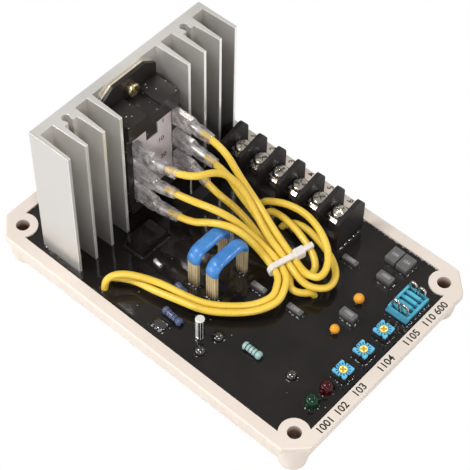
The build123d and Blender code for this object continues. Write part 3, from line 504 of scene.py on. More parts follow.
def settle(piece, name, slot, *nodes, body=BODY, angle=SMOOTH_ANGLE, look=None):
    take(piece)
    apply_place()
    if angle:
        bpy.ops.object.shade_smooth_by_angle(angle=math.radians(angle))
        if angle < WEIGHTED_BELOW:
            apply_modifier(piece, "WEIGHTED_NORMAL", keep_sharp=True)
    piece.name = name
    piece.data.name = name
    put_finish(piece, look or slot)
    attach(piece, body)
    if nodes:
        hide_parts(*nodes)
    return piece


def twin_of(piece):
    twin = piece.copy()
    twin.data = piece.data.copy()
    bpy.context.scene.collection.objects.link(twin)
    return twin


def copy_node(node):
    piece = twin_of(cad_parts[node])
    open_mesh(piece)
    bpy.ops.mesh.select_all(action="SELECT")
    bpy.ops.mesh.remove_doubles(threshold=0.002 * MM)
    bpy.ops.mesh.dissolve_limited(angle_limit=math.radians(0.6))
    close_mesh()
    return piece


def bevel_edges(piece, width, segments=2, angle=30.0):
    return apply_modifier(piece, "BEVEL", width=width * MM, segments=segments, limit_method="ANGLE",
                          angle_limit=math.radians(angle), miter_outer="MITER_ARC")


def dress(node, edge=None):
    slot, width, segments = DRESSED[node.rstrip("_1234")]
    piece = copy_node(node)
    if width:
        bevel_edges(piece, edge or width, segments)
    body = node.replace("trimmer_rotor", "rotor") if node.startswith("trimmer_rotor") else BODY
    angle = SINK_SMOOTH_ANGLE if node == "heat_sink" else SMOOTH_ANGLE
    return settle(piece, node + "_look", slot, node, body=body, angle=angle, look=LOOKS.get(node))


def block(x0, x1, y0, y1, z0, z1):
    drop_selection()
    middle = ((x0 + x1) / 2 * MM, (y0 + y1) / 2 * MM, (z0 + z1) / 2 * MM)
    bpy.ops.mesh.primitive_cube_add(size=1.0, location=middle)
    piece = bpy.context.object
    piece.scale = ((x1 - x0) * MM, (y1 - y0) * MM, (z1 - z0) * MM)
    apply_place()
    return piece


def ring(x, y, z, rx, ry, count, tip=0.0):
    drop_selection()
    bpy.ops.mesh.primitive_circle_add(vertices=count, radius=1.0, fill_type="NOTHING",
                                      location=(x * MM, y * MM, z * MM), rotation=(0, math.radians(tip), 0))
    piece = bpy.context.object
    piece.scale = (rx * MM, ry * MM, 1.0)
    apply_place()
    return piece


def slice_at(piece, axis, values):
    open_mesh(piece)
    for value in values:
        spot = [0.0, 0.0, 0.0]
        way = [0.0, 0.0, 0.0]
        spot[axis] = value * MM
        way[axis] = 1.0
        bpy.ops.mesh.select_all(action="SELECT")
        bpy.ops.mesh.bisect(plane_co=spot, plane_no=way)
    close_mesh()


def pick_faces(piece, test):
    open_mesh(piece)
    bpy.ops.mesh.select_all(action="DESELECT")
    bpy.ops.mesh.select_mode(type="FACE")
    shape = bmesh.from_edit_mesh(piece.data)
    shape.normal_update()
    for face in shape.faces:
        if test(face.calc_center_median() / MM, face.normal):
            face.select_set(True)
    bmesh.update_edit_mesh(piece.data)


def push(x, y, z):
    bpy.ops.mesh.extrude_region_move(TRANSFORM_OT_translate={"value": (x * MM, y * MM, z * MM)})


def draw_out(x, y, z):
    bpy.ops.mesh.extrude_edges_move(TRANSFORM_OT_translate={"value": (x * MM, y * MM, z * MM)})


def arc(degrees, centre, axis, steps):
    middle = tuple(c * MM for c in centre)
    bpy.ops.mesh.spin(steps=steps, angle=math.radians(degrees), center=middle, axis=axis)


def start_ring(piece):
    open_mesh(piece)
    bpy.ops.mesh.select_mode(type="EDGE")
    bpy.ops.mesh.select_all(action="SELECT")


def apply_modifier(piece, kind, **values):
    take(piece)
    modifier = piece.modifiers.new("Shape", kind)
    for key, value in values.items():
        setattr(modifier, key, value)
    bpy.ops.object.modifier_apply(modifier=modifier.name)
    return piece


def ripple(piece, size, strength):
    cloud = bpy.data.textures.new("Ripple", "CLOUDS")
    cloud.noise_scale = size * MM
    return apply_modifier(piece, "DISPLACE", texture=cloud, texture_coords="GLOBAL",
                          strength=strength * MM, mid_level=0.5)


def copy_at(piece, x, y, z):
    twin = twin_of(piece)
    twin.location = (x * MM, y * MM, z * MM)
    return twin


def merge(pieces):
    drop_selection()
    for piece in pieces:
        piece.select_set(True)
    bpy.context.view_layer.objects.active = pieces[0]
    bpy.ops.object.join()
    return bpy.context.object


# Resin surface with a raised edge where it meets the pieces, in millimetres
RESIN_STEP = 0.37
RESIN_LAP = 0.3
RESIN_SKIRT = 2.4
RESIN_UNDER_BOSS = 0.7
RESIN_UNEVEN = 0.45
FAR_OFF = 99.0
FEET_BOXES = [
    (43.9, 48.6, 35.2, 41.8), (49.1, 54.0, 35.1, 41.7), (46.6, 53.0, 26.8, 30.1),
    (46.8, 53.3, 5.2, 8.4), (31.8, 38.4, 25.4, 27.6), (30.6, 37.3, -4.9, -2.5),
    (15.0, 21.7, -6.4, -4.2), (14.0, 20.5, 14.9, 17.1), (-32.4, -22.9, -22.9, -9.3),
    (-0.9, 5.5, -42.2, -38.6), (58.0, 67.6, 17.6, 31.2),
    (60.85, 66.75, -16.25, -10.35), (60.85, 66.75, -4.9, 1.0), (60.85, 66.75, 6.45, 12.35),
    (-30.75, 27.95, 27.6, 42.6), (5.3, 10.0, -19.9, -17.9), (5.3, 10.0, -3.7, -1.7),
    (-3.55, 1.15, -19.9, -17.9), (-3.55, 1.15, -3.7, -1.7), (-51.0, -48.1, -13.8, 13.0),
    (-54.3, -50.6, -42.9, 42.1),
]
FEET_ROUNDS = [
    (63.1, -29.4, 2.5), (63.4, -21.7, 2.5), (48.1, 15.3, 1.2), (50.0, -0.8, 1.1),
    (16.2, -34.7, 1.75), (21.2, -30.5, 2.1), (20.3, -39.2, 2.1), (50.8, -25.4, 2.1),
    (-5.5, 21.8, 1.35), (-1.6, 20.4, 1.35), (34.8, 6.9, 1.35), (5.0, 22.4, 1.35),
    (-26.0, -39.3, 1.35), (-23.9, -42.2, 1.35),
]


def resin_height(x, y, rise, reach):
    near = np.full(x.shape, FAR_OFF)
    for x0, x1, y0, y1 in FEET_BOXES:
        dx = np.maximum(np.maximum(x0 - x, x - x1), 0.0)
        dy = np.maximum(np.maximum(y0 - y, y - y1), 0.0)
        near = np.minimum(near, np.hypot(dx, dy))
    for cx, cy, r in FEET_ROUNDS:
        near = np.minimum(near, np.maximum(np.hypot(x - cx, y - cy) - r, 0.0))
    for cx in (-HOLE_X, HOLE_X):
        for cy in (-HOLE_Y, HOLE_Y):
            near = np.minimum(near, np.maximum(np.hypot(x - cx, y - cy) - BOSS_R, 0.0))
    wall = np.minimum(CAVITY_L / 2 - np.abs(x), CAVITY_W / 2 - np.abs(y))
    near = np.minimum(near, np.maximum(wall, 0.0))
    uneven = 1.0 + RESIN_UNEVEN * np.sin(2.9 * x + 1.3 * y) * np.sin(3.7 * y - 0.8 * x)
    return rise * uneven * np.exp(-near / reach)


def model_resin(settings):
    nx = int(CAVITY_L / RESIN_STEP)
    ny = int(CAVITY_W / RESIN_STEP)
    drop_selection()
    bpy.ops.mesh.primitive_grid_add(x_subdivisions=nx, y_subdivisions=ny, size=1.0, location=(0, 0, 0))
    piece = bpy.context.object
    piece.scale = ((CAVITY_L + RESIN_LAP) * MM, (CAVITY_W + RESIN_LAP) * MM, 1.0)
    piece.location = (0, 0, RESIN_Z * MM)
    apply_place()
    open_mesh(piece)
    bpy.ops.mesh.select_all(action="DESELECT")
    shape = bmesh.from_edit_mesh(piece.data)
    limit = (BOSS_R - RESIN_UNDER_BOSS) * MM
    for point in shape.verts:
        if math.hypot(abs(point.co.x) - HOLE_X * MM, abs(point.co.y) - HOLE_Y * MM) < limit:
            point.select = True
    bmesh.update_edit_mesh(piece.data)
    bpy.ops.mesh.delete(type="VERT")
    bpy.ops.mesh.select_all(action="DESELECT")
    shape = bmesh.from_edit_mesh(piece.data)
    for edge in shape.edges:
        if edge.is_boundary:
            edge.select_set(True)
    bmesh.update_edit_mesh(piece.data)
    draw_out(0, 0, -RESIN_SKIRT)
    bpy.ops.mesh.edge_face_add()
    close_mesh()
    count = len(piece.data.vertices)
    flat = np.empty(count * 3)
    piece.data.vertices.foreach_get("co", flat)
    spots = flat.reshape(-1, 3)
    top = spots[:, 2] > (RESIN_Z - 1.0) * MM
    x = spots[top, 0] / MM
    y = spots[top, 1] / MM
    spots[top, 2] += resin_height(x, y, settings.rise, settings.reach) * MM
    piece.data.vertices.foreach_set("co", spots.ravel())
    piece.data.update()
    return settle(piece, "resin_surface", "resin_black", "potting_resin", angle=ROUND_ANGLE)


# Wires: the points of each route, in millimetres
WIRE_ROUTES = {
    "wire_1": [
        (-24.63, 10.94, 56.06), (-15.28, 11.91, 54.67), (-7.5, 12.8, 43.2), (1, 12.9, 35.5),
        (10.8, 11.5, 28.6), (17.17, 11.6, 22.9), (25.63, 8.54, 22.9), (31.4, 5.8, 26.2),
        (35.8, 7.3, 26.6), (34.8, 13, 27), (30.6, 18.2, 28.1), (23.7, 22.2, 29.5), (15.1, 24.5, 30),
        (7, 23.9, 29.3), (0.3, 22.8, 26.7), (-4.7, 22.6, 22.7), (-5.5, 21.8, 17.4),
        (-5.5, 21.8, 12.2),
    ],
    "wire_2": [
        (-22.64, 11.04, 44.04), (-13.27, 11.8, 42.69), (-8.4, 12.9, 34.1), (-0.1, 12.6, 29.4),
        (9.5, 10.6, 24.7), (16.68, 10.24, 20.35), (24.67, 7.35, 20.35), (29.3, 8.8, 20.3),
        (30, 12.2, 20.9), (26.9, 15.5, 22.7), (20.6, 17.8, 24.5), (13, 19.9, 25.1),
        (5.6, 21.3, 24.3), (-0.4, 21.6, 21.9), (-1.6, 20.4, 17.2), (-1.6, 20.4, 12.2),
    ],
    "wire_3": [
        (-23.91, 9.84, 33.19), (-14.82, 7.22, 34.06), (-7.1, 10.6, 27.7), (0.4, 11.1, 22.9),
        (9, 9.1, 20.3), (17.57, 6.83, 20.35), (24.62, 4.28, 20.35), (27.6, 0.9, 19.5),
        (31.5, 1.8, 19.1), (34.8, 6.9, 17.7), (34.8, 6.9, 12.2),
    ],
    "wire_4": [
        (-22.65, -9.31, 55.14), (-13.26, -8.45, 56.32), (-10.2, 4.4, 52.2), (-5.7, 9.1, 45.2),
        (0.5, 10.1, 36.9), (9.4, 8.2, 29.1), (16.18, 8.88, 22.9), (25.11, 5.64, 22.9),
        (30.8, 5, 20.7), (35.8, 6.6, 20.9), (38.9, 10.2, 21.2), (37.1, 15.8, 21.3),
        (31.5, 20.1, 21.6), (24.3, 22.7, 21.7), (16.5, 24.6, 21.5), (11.4, 24.6, 21),
        (7.6, 23.6, 19), (5, 22.4, 15.8), (5, 22.4, 12.2),
    ],
    "wire_5": [
        (-23.12, -9.38, 43.47), (-13.78, -8.58, 45.01), (-4.1, -3.4, 41.9), (1.3, 0.2, 37.4),
        (6.6, 3.9, 29.6), (15.19, 6.15, 22.9), (24.32, 2.85, 22.9), (27.4, -1.8, 22.1),
        (29.3, -7.4, 21.3), (26.1, -14.4, 20.3), (20.6, -20.3, 19.7), (11.7, -27.2, 19.7),
        (1.8, -30, 19.9), (-7.8, -32.6, 19.6), (-16.1, -33.6, 18.8), (-20.3, -35.5, 18.5),
        (-26, -39.3, 18.4), (-26, -39.3, 12.2),
    ],
    "wire_6": [
        (-22.07, -9.34, 31.52), (-12.63, -8.63, 32.33), (-4.3, -5.9, 37.3), (3.4, -2.3, 37.3),
        (9.6, 0.6, 31.2), (14.68, 3.25, 22.9), (22.39, 0.46, 22.9), (24.7, -3.1, 22.1),
        (26.3, -7, 21.3), (23.7, -12.8, 20.3), (18.7, -18.1, 19.7), (10.3, -24.6, 19.7),
        (1, -27.2, 19.9), (-8.6, -29.7, 21.2), (-16.4, -34.2, 22.9), (-20.7, -37.9, 23.5),
        (-22.7, -41.5, 22.7), (-23.9, -42.2, 16.9), (-23.9, -42.2, 12.2),
    ],
}


def model_wire(name, radius):
    points = WIRE_ROUTES[name]
    data = bpy.data.curves.new(name + "_insulation", "CURVE")
    data.dimensions = "3D"
    spline = data.splines.new("NURBS")
    spline.points.add(len(points) - 1)
    for place, (x, y, z) in zip(spline.points, points):
        place.co = (x * MM, y * MM, z * MM, 1.0)
    spline.order_u = 3
    spline.use_endpoint_u = True
    spline.resolution_u = 12
    data.bevel_depth = radius * MM
    data.bevel_resolution = 6
    data.use_fill_caps = True
    piece = bpy.data.objects.new(name + "_insulation", data)
    bpy.context.scene.collection.objects.link(piece)
    put_finish(piece, "wire_yellow")
    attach(piece, BODY)
    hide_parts(name)
    return piece


# Header with slots, notches beside them, and four loops of wire, in millimetres
HEADER = (58.0, 67.6, 17.6, 31.2, 12.3, 19.2)
HEADER_STEP_Y = 1.4
HEADER_STEP_DROP = 1.3
SLOT_Y = (19.94, 22.48, 25.02, 27.56, 30.1)
SLOT_END = 1.0
NOTCH_END = 2.2
NOTCH_START_Y = 1.9
NOTCH_STOP_Y = 0.9
NOTCH_DROP = 0.6
HEADER_EDGE = 0.16
LOOP_X = 62.8
LOOP_LOW = 17.0
LOOP_BEND_Z = 22.45
LOOP_BEND = 1.35
LOOP_R = 0.45
LOOP_SHIFT = 1.95


def model_header(settings):
    x0, x1, y0, y1 = HEADER[:4]
    piece = block(*HEADER)
    half = settings.slot_width / 2
    slice_at(piece, 1, [y0 + HEADER_STEP_Y] + [y + side * half for y in SLOT_Y for side in (-1, 1)])
    slice_at(piece, 0, (x0 + SLOT_END, x0 + NOTCH_END, x1 - NOTCH_END, x1 - SLOT_END))
    pick_faces(piece, lambda c, n: n.z > 0.9 and c.y < y0 + HEADER_STEP_Y)
    bpy.ops.transform.translate(value=(0, 0, -HEADER_STEP_DROP * MM))
    close_mesh()

    def beside_slot(y):
        return any(abs(y - middle) < half for middle in SLOT_Y)

    def in_slot(c, n):
        return n.z > 0.9 and beside_slot(c.y) and x0 + SLOT_END < c.x < x1 - SLOT_END

    def in_notch(c, n):
        ends = x0 + SLOT_END < c.x < x0 + NOTCH_END or x1 - NOTCH_END < c.x < x1 - SLOT_END
        between = y0 + NOTCH_START_Y < c.y < y1 - NOTCH_STOP_Y and not beside_slot(c.y)
        return n.z > 0.9 and ends and between

    for test, depth in ((in_slot, settings.slot_depth), (in_notch, NOTCH_DROP)):
        pick_faces(piece, test)
        push(0, 0, -depth)
        close_mesh()
    bevel_edges(piece, HEADER_EDGE, 2, 40.0)
    return settle(piece, "header_body", "header_teal", "jumper_header")


def model_loops():
    loop = ring(LOOP_X - LOOP_BEND, SLOT_Y[0], LOOP_LOW, LOOP_R, LOOP_R, 12)
    start_ring(loop)
    draw_out(0, 0, LOOP_BEND_Z - LOOP_LOW)
    arc(180, (LOOP_X, SLOT_Y[0], LOOP_BEND_Z), (0, -1, 0), 14)
    draw_out(0, 0, LOOP_LOW - LOOP_BEND_Z)
    close_mesh()
    far = SLOT_Y[4] - SLOT_Y[0]
    loops = [copy_at(loop, x, y, 0) for y in (0, far) for x in (-LOOP_SHIFT, LOOP_SHIFT)]
    bpy.data.objects.remove(loop)
    return settle(merge(loops), "header_loops", "nickel", "jumper_wires", angle=ROUND_ANGLE)


# Clear sleeves over the receptacles: middle of each mouth (y, z) and its far end, in millimetres
SLEEVES = {
    "right": (
        (10.7, 56.4, (-20.2, 11.4, 55.4)),
        (10.7, 44.65, (-18.2, 11.4, 43.4)),
        (10.7, 32.9, (-19.6, 8.6, 33.6)),
    ),
    "left": (
        (-9.7, 54.6, (-18.2, -8.9, 55.7)),
        (-9.7, 42.85, (-18.7, -9.0, 44.2)),
        (-9.7, 31.1, (-17.6, -9.0, 31.9)),
    ),
}
SLEEVE_X = (-37.5, -35.6)
SLEEVE_HALF_Y = 1.85
SLEEVE_HALF_Z = 4.2
SLEEVE_SLICE_Z = 2.5
SLEEVE_BEND_X = -26.9
SLEEVE_RIPPLE = 3.2
# Steps along the flat part: length, and scale across y and z; the last step keeps its width
SLEEVE_STEPS = (
    (0.7, 0.88, 0.97), (3.4, 1.04, 0.99), (2.5, 1.1, 0.97), (0.9, 1.06, 0.68), (0.9, 0.94, 0.74),
)
SLEEVE_LAST_STEP = 0.6
# Steps along the round part: share of its length, and scale
SLEEVE_TUBE_STEPS = ((0.12, 1.06), (0.16, 1.0), (0.12, 0.9), (0.2, 1.0), (0.2, 0.98), (0.1, 0.9), (0.1, 1.06))


def model_sleeve(y, z, end):
    tube = block(*SLEEVE_X, y - SLEEVE_HALF_Y, y + SLEEVE_HALF_Y, z - SLEEVE_HALF_Z, z + SLEEVE_HALF_Z)
    slice_at(tube, 2, (z - SLEEVE_SLICE_Z, z + SLEEVE_SLICE_Z))
    pick_faces(tube, lambda c, n: n.x > 0.9)
    for length, wide, tall in SLEEVE_STEPS:
        push(length, 0, 0)
        bpy.ops.transform.resize(value=(1, wide, tall))
    push(SLEEVE_LAST_STEP, 0, 0)
    way = Vector(end) - Vector((SLEEVE_BEND_X, y, z))
    for share, wide in SLEEVE_TUBE_STEPS:
        push(*(way * share))
        bpy.ops.transform.resize(value=(1, wide, wide))
    bpy.ops.mesh.delete(type="FACE")
    close_mesh()
    pick_faces(tube, lambda c, n: n.x < -0.9)
    bpy.ops.mesh.delete(type="FACE")
    close_mesh()
    return apply_modifier(tube, "SUBSURF", levels=3, render_levels=3)


def model_sleeves(side, settings):
    piece = merge([model_sleeve(y, z, end) for y, z, end in SLEEVES[side]])
    ripple(piece, SLEEVE_RIPPLE, settings.crinkle)
    apply_modifier(piece, "SOLIDIFY", thickness=settings.wall * MM, offset=-1.0)
    return settle(piece, "sleeves_" + side + "_vinyl", "sleeve_clear", "sleeves_" + side, angle=180.0)


# Links: bare strands and a blue sleeve, in millimetres
LINKS = {1: 7.65, 2: -1.2}
LINK_NEAR = -18.9
LINK_FAR = -2.7
LINK_LOW = 12.6
LINK_BEND = 3.65
LINK_BEND_Z = 30.3
STRAND_R = 0.45
STRAND_PITCH = 0.95
STRAND_COUNT = 5
STRAND_ROWS = (-0.5, 0.5)
STRAND_SWAY = 0.07
COVER_LOW = LINK_BEND_Z - 0.4
COVER_SIZE = (2.85, 1.5)
COVER_WALL = 0.3
COVER_RIPPLE = 3.0


def link_path(piece, x, low):
    half = (LINK_FAR - LINK_NEAR - 2 * LINK_BEND) / 2
    start_ring(piece)
    draw_out(0, 0, LINK_BEND_Z - low)
    arc(90, (x, LINK_NEAR + LINK_BEND, LINK_BEND_Z), (1, 0, 0), 8)
    draw_out(0, half, 0)
    draw_out(0, half, 0)
    arc(90, (x, LINK_FAR - LINK_BEND, LINK_BEND_Z), (1, 0, 0), 8)
    draw_out(0, 0, low - LINK_BEND_Z)
    close_mesh()


def model_link(number, settings):
    x = LINKS[number]
    strands = []
    for row in STRAND_ROWS:
        strand = ring(x, LINK_NEAR + row, LINK_LOW, STRAND_R, STRAND_R, 10)
        link_path(strand, x, LINK_LOW)
        for i in range(STRAND_COUNT):
            sway = STRAND_SWAY * math.sin(3.1 * i + 2.3 * row + number)
            strands.append(copy_at(strand, (i - (STRAND_COUNT - 1) / 2) * STRAND_PITCH, sway, 0))
        bpy.data.objects.remove(strand)
    name = "link_%d_" % number
    settle(merge(strands), name + "strands", "braid_tan", name + "conductor", angle=ROUND_ANGLE)
    cover = ring(x, LINK_NEAR, COVER_LOW, *COVER_SIZE, 24)
    link_path(cover, x, COVER_LOW)
    apply_modifier(cover, "SUBSURF", levels=2, render_levels=2)
    ripple(cover, COVER_RIPPLE, settings.waviness)
    apply_modifier(cover, "SOLIDIFY", thickness=COVER_WALL * MM, offset=-1.0)
    return settle(cover, name + "cover", "sleeve_blue", name + "sleeve", angle=180.0)


# Printed numbers: words and places, in millimetres
RIM_MARKS = (
    ("1001", 72.3, -33.0), ("102", 72.3, -24.2), ("103", 72.2, -14.2),
    ("1104", 72.3, 0.4), ("1105", 72.3, 15.0), ("110 600", 72.4, 28.7),
)
RIM_MARK_SIZE = 4.0
POLE_COUNT = 6
POLE_MARK_X = -31.4
POLE_MARK_PITCH = 9.7
POLE_MARK_Y = 48.9
POLE_MARK_SIZE = 3.4
POLE_MARK_TURN = 130
FACE_MARKS = (("1", 5.2, 57.0), ("10", 3.9, 48.1), ("20", 4.9, 38.3))
FACE_MARK_X = -37.98
FACE_MARK_SIZE = 3.0
CAP_MARKS = (
    ("104", 46.25, 38.5, 19.5), ("104", 51.55, 38.4, 19.5),
    ("1000", 49.8, 28.45, 19.4), ("1000", 50.05, 6.8, 19.4),
    ("1500", 35.1, 26.5, 18.3), ("1500", 33.95, -3.7, 17.9),
    ("1500", 18.35, -5.3, 18.5), ("1500", 17.25, 16.0, 18.2),
)
CAP_MARK_SIZE = 1.9
PRINT_LIFT = 0.02
CAP_PRINT_LIFT = 0.01
PRINT_DEPTH = 0.02
PRINT_SWELL = 0.017


def print_text(name, words, size, x, y, z, turn, look):
    drop_selection()
    bpy.ops.object.text_add(location=(0, 0, 0))
    letters = bpy.context.object.data
    letters.body = words
    letters.size = size * MM
    letters.align_x = "CENTER"
    letters.align_y = "CENTER"
    letters.extrude = PRINT_DEPTH * MM
    letters.offset = PRINT_SWELL * size * MM
    bpy.ops.object.convert(target="MESH")
    piece = bpy.context.object
    piece.rotation_euler = (0, 0, math.radians(turn))
    piece.location = (x * MM, y * MM, z * MM)
    return settle(piece, name, look, angle=0)


def place_marks():
    for i, (words, x, y) in enumerate(RIM_MARKS, 1):
        print_text("rim_mark_%d" % i, words, RIM_MARK_SIZE, x, y, RIM_Z + PRINT_LIFT, 90, "ink_black")
    for i in range(POLE_COUNT):
        x = POLE_MARK_X + POLE_MARK_PITCH * i
        print_text("pole_mark_%d" % (i + 1), str(i + 1), POLE_MARK_SIZE, x, POLE_MARK_Y,
                   RIM_Z + PRINT_LIFT, POLE_MARK_TURN, "ink_black")
    for i, (words, y, z) in enumerate(FACE_MARKS, 1):
        piece = print_text("face_mark_%d" % i, words, FACE_MARK_SIZE, 0, 0, 0, 90, "ink_black")
        take(piece)
        piece.rotation_euler = (0, math.radians(90), 0)
        piece.location = (FACE_MARK_X * MM, y * MM, z * MM)
        apply_place()
    for i, (words, x, y, z) in enumerate(CAP_MARKS, 1):
        print_text("cap_mark_%d" % i, words, CAP_MARK_SIZE, x, y, z + CAP_PRINT_LIFT, 0, "ink_grey")


# Lug screws, tie, potted parts, axial part and resistors, in millimetres
LUG_SCREW_SPOT = (-48.1, -0.4)
LUG_SCREW_Z = (71.4, 19.0)
LUG_HEAD_X = -48.0
LUG_HEAD_REACH = 6
LUG_HEAD_SCALE = 0.8
TIE_TURN = 19.9
TIE_SPOT = (20.95, 5.61)
TIE_CAD_WIDTH = 2.6
POTTED_SHAKE = 0.09
AXIAL_SCALE = (0.66, 0.66, 0.8)
RESISTORS = {
    1: ((29.9, -27.0), (38.3, -27.0), 17.0),
    2: ((-1.4, -34.7), (8.0, -35.4), 17.0),
    3: ((-5.8, -23.6), (0.4, -24.6), 16.6),
}
# Half of a resistor's outline: distance from its end, and radius
RESISTOR_END = ((0.0, 0.5), (0.25, 1.15), (0.6, 1.5), (1.1, 1.62), (1.6, 1.55), (2.1, 1.36))


def model_lug_screws():
    piece = copy_node("module_screws")
    x, y = LUG_SCREW_SPOT
    for z in LUG_SCREW_Z:
        pick_faces(piece, lambda c, n: c.x > LUG_HEAD_X and abs(c.z - z) < LUG_HEAD_REACH)
        bpy.ops.transform.resize(value=(1, LUG_HEAD_SCALE, LUG_HEAD_SCALE),
                                 center_override=(x * MM, y * MM, z * MM))
        close_mesh()
    bevel_edges(piece, 0.15)
    return settle(piece, "lug_screws", "yellow_zinc", "module_screws")


def model_tie(settings):
    piece = copy_node("cable_tie")
    turn = math.radians(TIE_TURN)
    spot = Matrix.Rotation(turn, 3, "Z") @ Vector((*TIE_SPOT, 0))
    for angle, share in ((turn, 1.0), (0.0, settings.tie_width / TIE_CAD_WIDTH), (-turn, 1.0)):
        take(piece)
        piece.rotation_euler = (0, 0, angle)
        piece.scale = (share, 1, 1)
        piece.location = (spot.x * (1 - share) * MM, 0, 0)
        apply_place()
    bevel_edges(piece, 0.2)
    return settle(piece, "tie_strap", "tie_white", "cable_tie")


def model_potted(node, edge, look):
    piece = copy_node(node)
    if edge:
        bevel_edges(piece, edge)
        pick_faces(piece, lambda c, n: 0.15 < n.z < 0.97)
        bpy.ops.mesh.subdivide(number_cuts=9)
        bpy.ops.transform.vertex_random(offset=POTTED_SHAKE * MM, seed=4)
        close_mesh()
    return settle(piece, node + "_look", "resin_black", node, angle=ROUND_ANGLE, look=look)


def model_axial():
    piece = copy_node("axial_part")
    middle = sum((Vector(corner) for corner in piece.bound_box), Vector()) / 8
    open_mesh(piece)
    bpy.ops.mesh.select_all(action="SELECT")
    bpy.ops.transform.resize(value=AXIAL_SCALE, center_override=tuple(middle))
    close_mesh()
    bevel_edges(piece, 0.2)
    return settle(piece, "axial_part_look", "tin_plate", "axial_part")


def model_resistor(number):
    (x0, y0), (x1, y1), z = RESISTORS[number]
    length = math.hypot(x1 - x0, y1 - y0)
    piece = ring(0, 0, 0, RESISTOR_END[0][1], RESISTOR_END[0][1], 20, tip=90)
    start_ring(piece)
    profile = RESISTOR_END + tuple((length - step, r) for step, r in reversed(RESISTOR_END))
    for (a, ra), (b, rb) in zip(profile, profile[1:]):
        draw_out(b - a, 0, 0)
        bpy.ops.transform.resize(value=(1, rb / ra, rb / ra))
    bpy.ops.mesh.select_all(action="SELECT")
    bpy.ops.mesh.normals_make_consistent(inside=False)
    close_mesh()
    piece.rotation_euler = (0, 0, math.atan2(y1 - y0, x1 - x0))
    piece.location = (x0 * MM, y0 * MM, z * MM)
    slot = "resistor_aqua" if number == 1 else "resistor_blue"
    return settle(piece, "resistor_%d_body" % number, slot, "resistor_%d" % number, angle=ROUND_ANGLE)


# Settings a user would change
def colour_setting(slot, words):
    return FloatVectorProperty(name="Colour", description=words, subtype="COLOR", size=4, min=0.0, max=1.0,
                               default=ink(*FINISH_TABLE[slot][1]))


class CaseSettings(bpy.types.PropertyGroup):
    edge: FloatProperty(name="Edge", description="Radius of the case's edges, in mm", default=0.3)
    colour: colour_setting("case_plastic", "Colour of the moulded case")


class ResinSettings(bpy.types.PropertyGroup):
    rise: FloatProperty(name="Edge rise", description="How far the resin creeps up at a foot, in mm",
                        default=0.42)
    reach: FloatProperty(name="Edge reach", description="How far from a foot the rise fades, in mm",
                         default=0.36)
    colour: colour_setting("resin_black", "Colour of the cast resin")


class HeaderSettings(bpy.types.PropertyGroup):
    slot_width: FloatProperty(name="Slot width", description="Width of each slot, in mm", default=1.15)
    slot_depth: FloatProperty(name="Slot depth", description="Depth of each slot, in mm", default=2.9)


class SleeveSettings(bpy.types.PropertyGroup):
    wall: FloatProperty(name="Wall", description="Thickness of the clear sleeve, in mm", default=0.32)
    crinkle: FloatProperty(name="Crinkle", description="Depth of the sleeve's ripples, in mm", default=0.3)


class LinkSettings(bpy.types.PropertyGroup):
    waviness: FloatProperty(name="Waviness", description="Depth of the blue sleeve's waves, in mm",
                            default=0.3)


class WireSettings(bpy.types.PropertyGroup):
    radius: FloatProperty(name="Radius", description="Radius of the insulation, in mm", default=1.35)
    tie_width: FloatProperty(name="Tie width", description="Width of the cable tie, in mm", default=2.0)
    colour: colour_setting("wire_yellow", "Colour of the insulation")


class StageSettings(bpy.types.PropertyGroup):
    key: FloatProperty(name="Key light", description="Power of the large soft light", default=3.7,
                       unit="POWER")
    fill: FloatProperty(name="Fill light", description="Power of the lamp beside the camera", default=0.9,
                        unit="POWER")
    side: FloatProperty(name="Side light", description="Power of the low light at the side", default=1.0,
                        unit="POWER")
    spark: FloatProperty(name="Spark lights", description="Power of the small lamps that give glints",
                         default=0.7, unit="POWER")
    ambient: FloatProperty(name="Ambient", description="Strength of the surroundings", default=0.5)
    floor: FloatProperty(name="Floor size", description="Side of the floor", default=8.0, unit="LENGTH")


# Operators, one for each piece or group of like pieces
class REGULATOR_OT_case(bpy.types.Operator):
    """Softens the edges of the moulded case and gives it its finish"""
    bl_idname = "regulator.case"
    bl_label = "Case"

    def execute(self, context):
        dress("case", context.scene.regulator_case.edge)
        dress("circuit_board")
        return {"FINISHED"}


class REGULATOR_OT_resin(bpy.types.Operator):
    """Casts the resin surface round the feet of the pieces"""
    bl_idname = "regulator.resin"
    bl_label = "Resin"

    def execute(self, context):
        model_resin(context.scene.regulator_resin)
        return {"FINISHED"}


class REGULATOR_OT_sink(bpy.types.Operator):
    """Gives the heat sink and its screws their edges and finish"""
    bl_idname = "regulator.sink"
    bl_label = "Heat sink"

    def execute(self, context):
        dress("heat_sink")
        dress("heat_sink_screws")
        return {"FINISHED"}


class REGULATOR_OT_module(bpy.types.Operator):
    """Gives the power module its edges and finishes"""
    bl_idname = "regulator.module"
    bl_label = "Power module"

    def execute(self, context):
        for node in ("module_base_plate", "module_body", "module_face"):
            dress(node)
        model_lug_screws()
        return {"FINISHED"}


class REGULATOR_OT_contacts(bpy.types.Operator):
    """Makes the blade tabs, the receptacles and their sleeves"""
    bl_idname = "regulator.contacts"
    bl_label = "Contacts"

    def execute(self, context):
        for side in SLEEVES:
            dress("module_tabs_" + side)
            dress("contacts_" + side)
            model_sleeves(side, context.scene.regulator_sleeves)
        return {"FINISHED"}


class REGULATOR_OT_wires(bpy.types.Operator):
    """Lays the six wires along their routes"""
    bl_idname = "regulator.wires"
    bl_label = "Wires"

    def execute(self, context):
        settings = context.scene.regulator_wires
        for name in WIRE_ROUTES:
            model_wire(name, settings.radius)
        model_tie(settings)
        return {"FINISHED"}


class REGULATOR_OT_terminals(bpy.types.Operator):
    """Makes the terminal block with its plates, washers and screws"""
    bl_idname = "regulator.terminals"
    bl_label = "Terminals"

    def execute(self, context):
        for node in ("terminal_block", "terminal_plates", "clamp_washers", "terminal_screws"):
            dress(node)
        return {"FINISHED"}


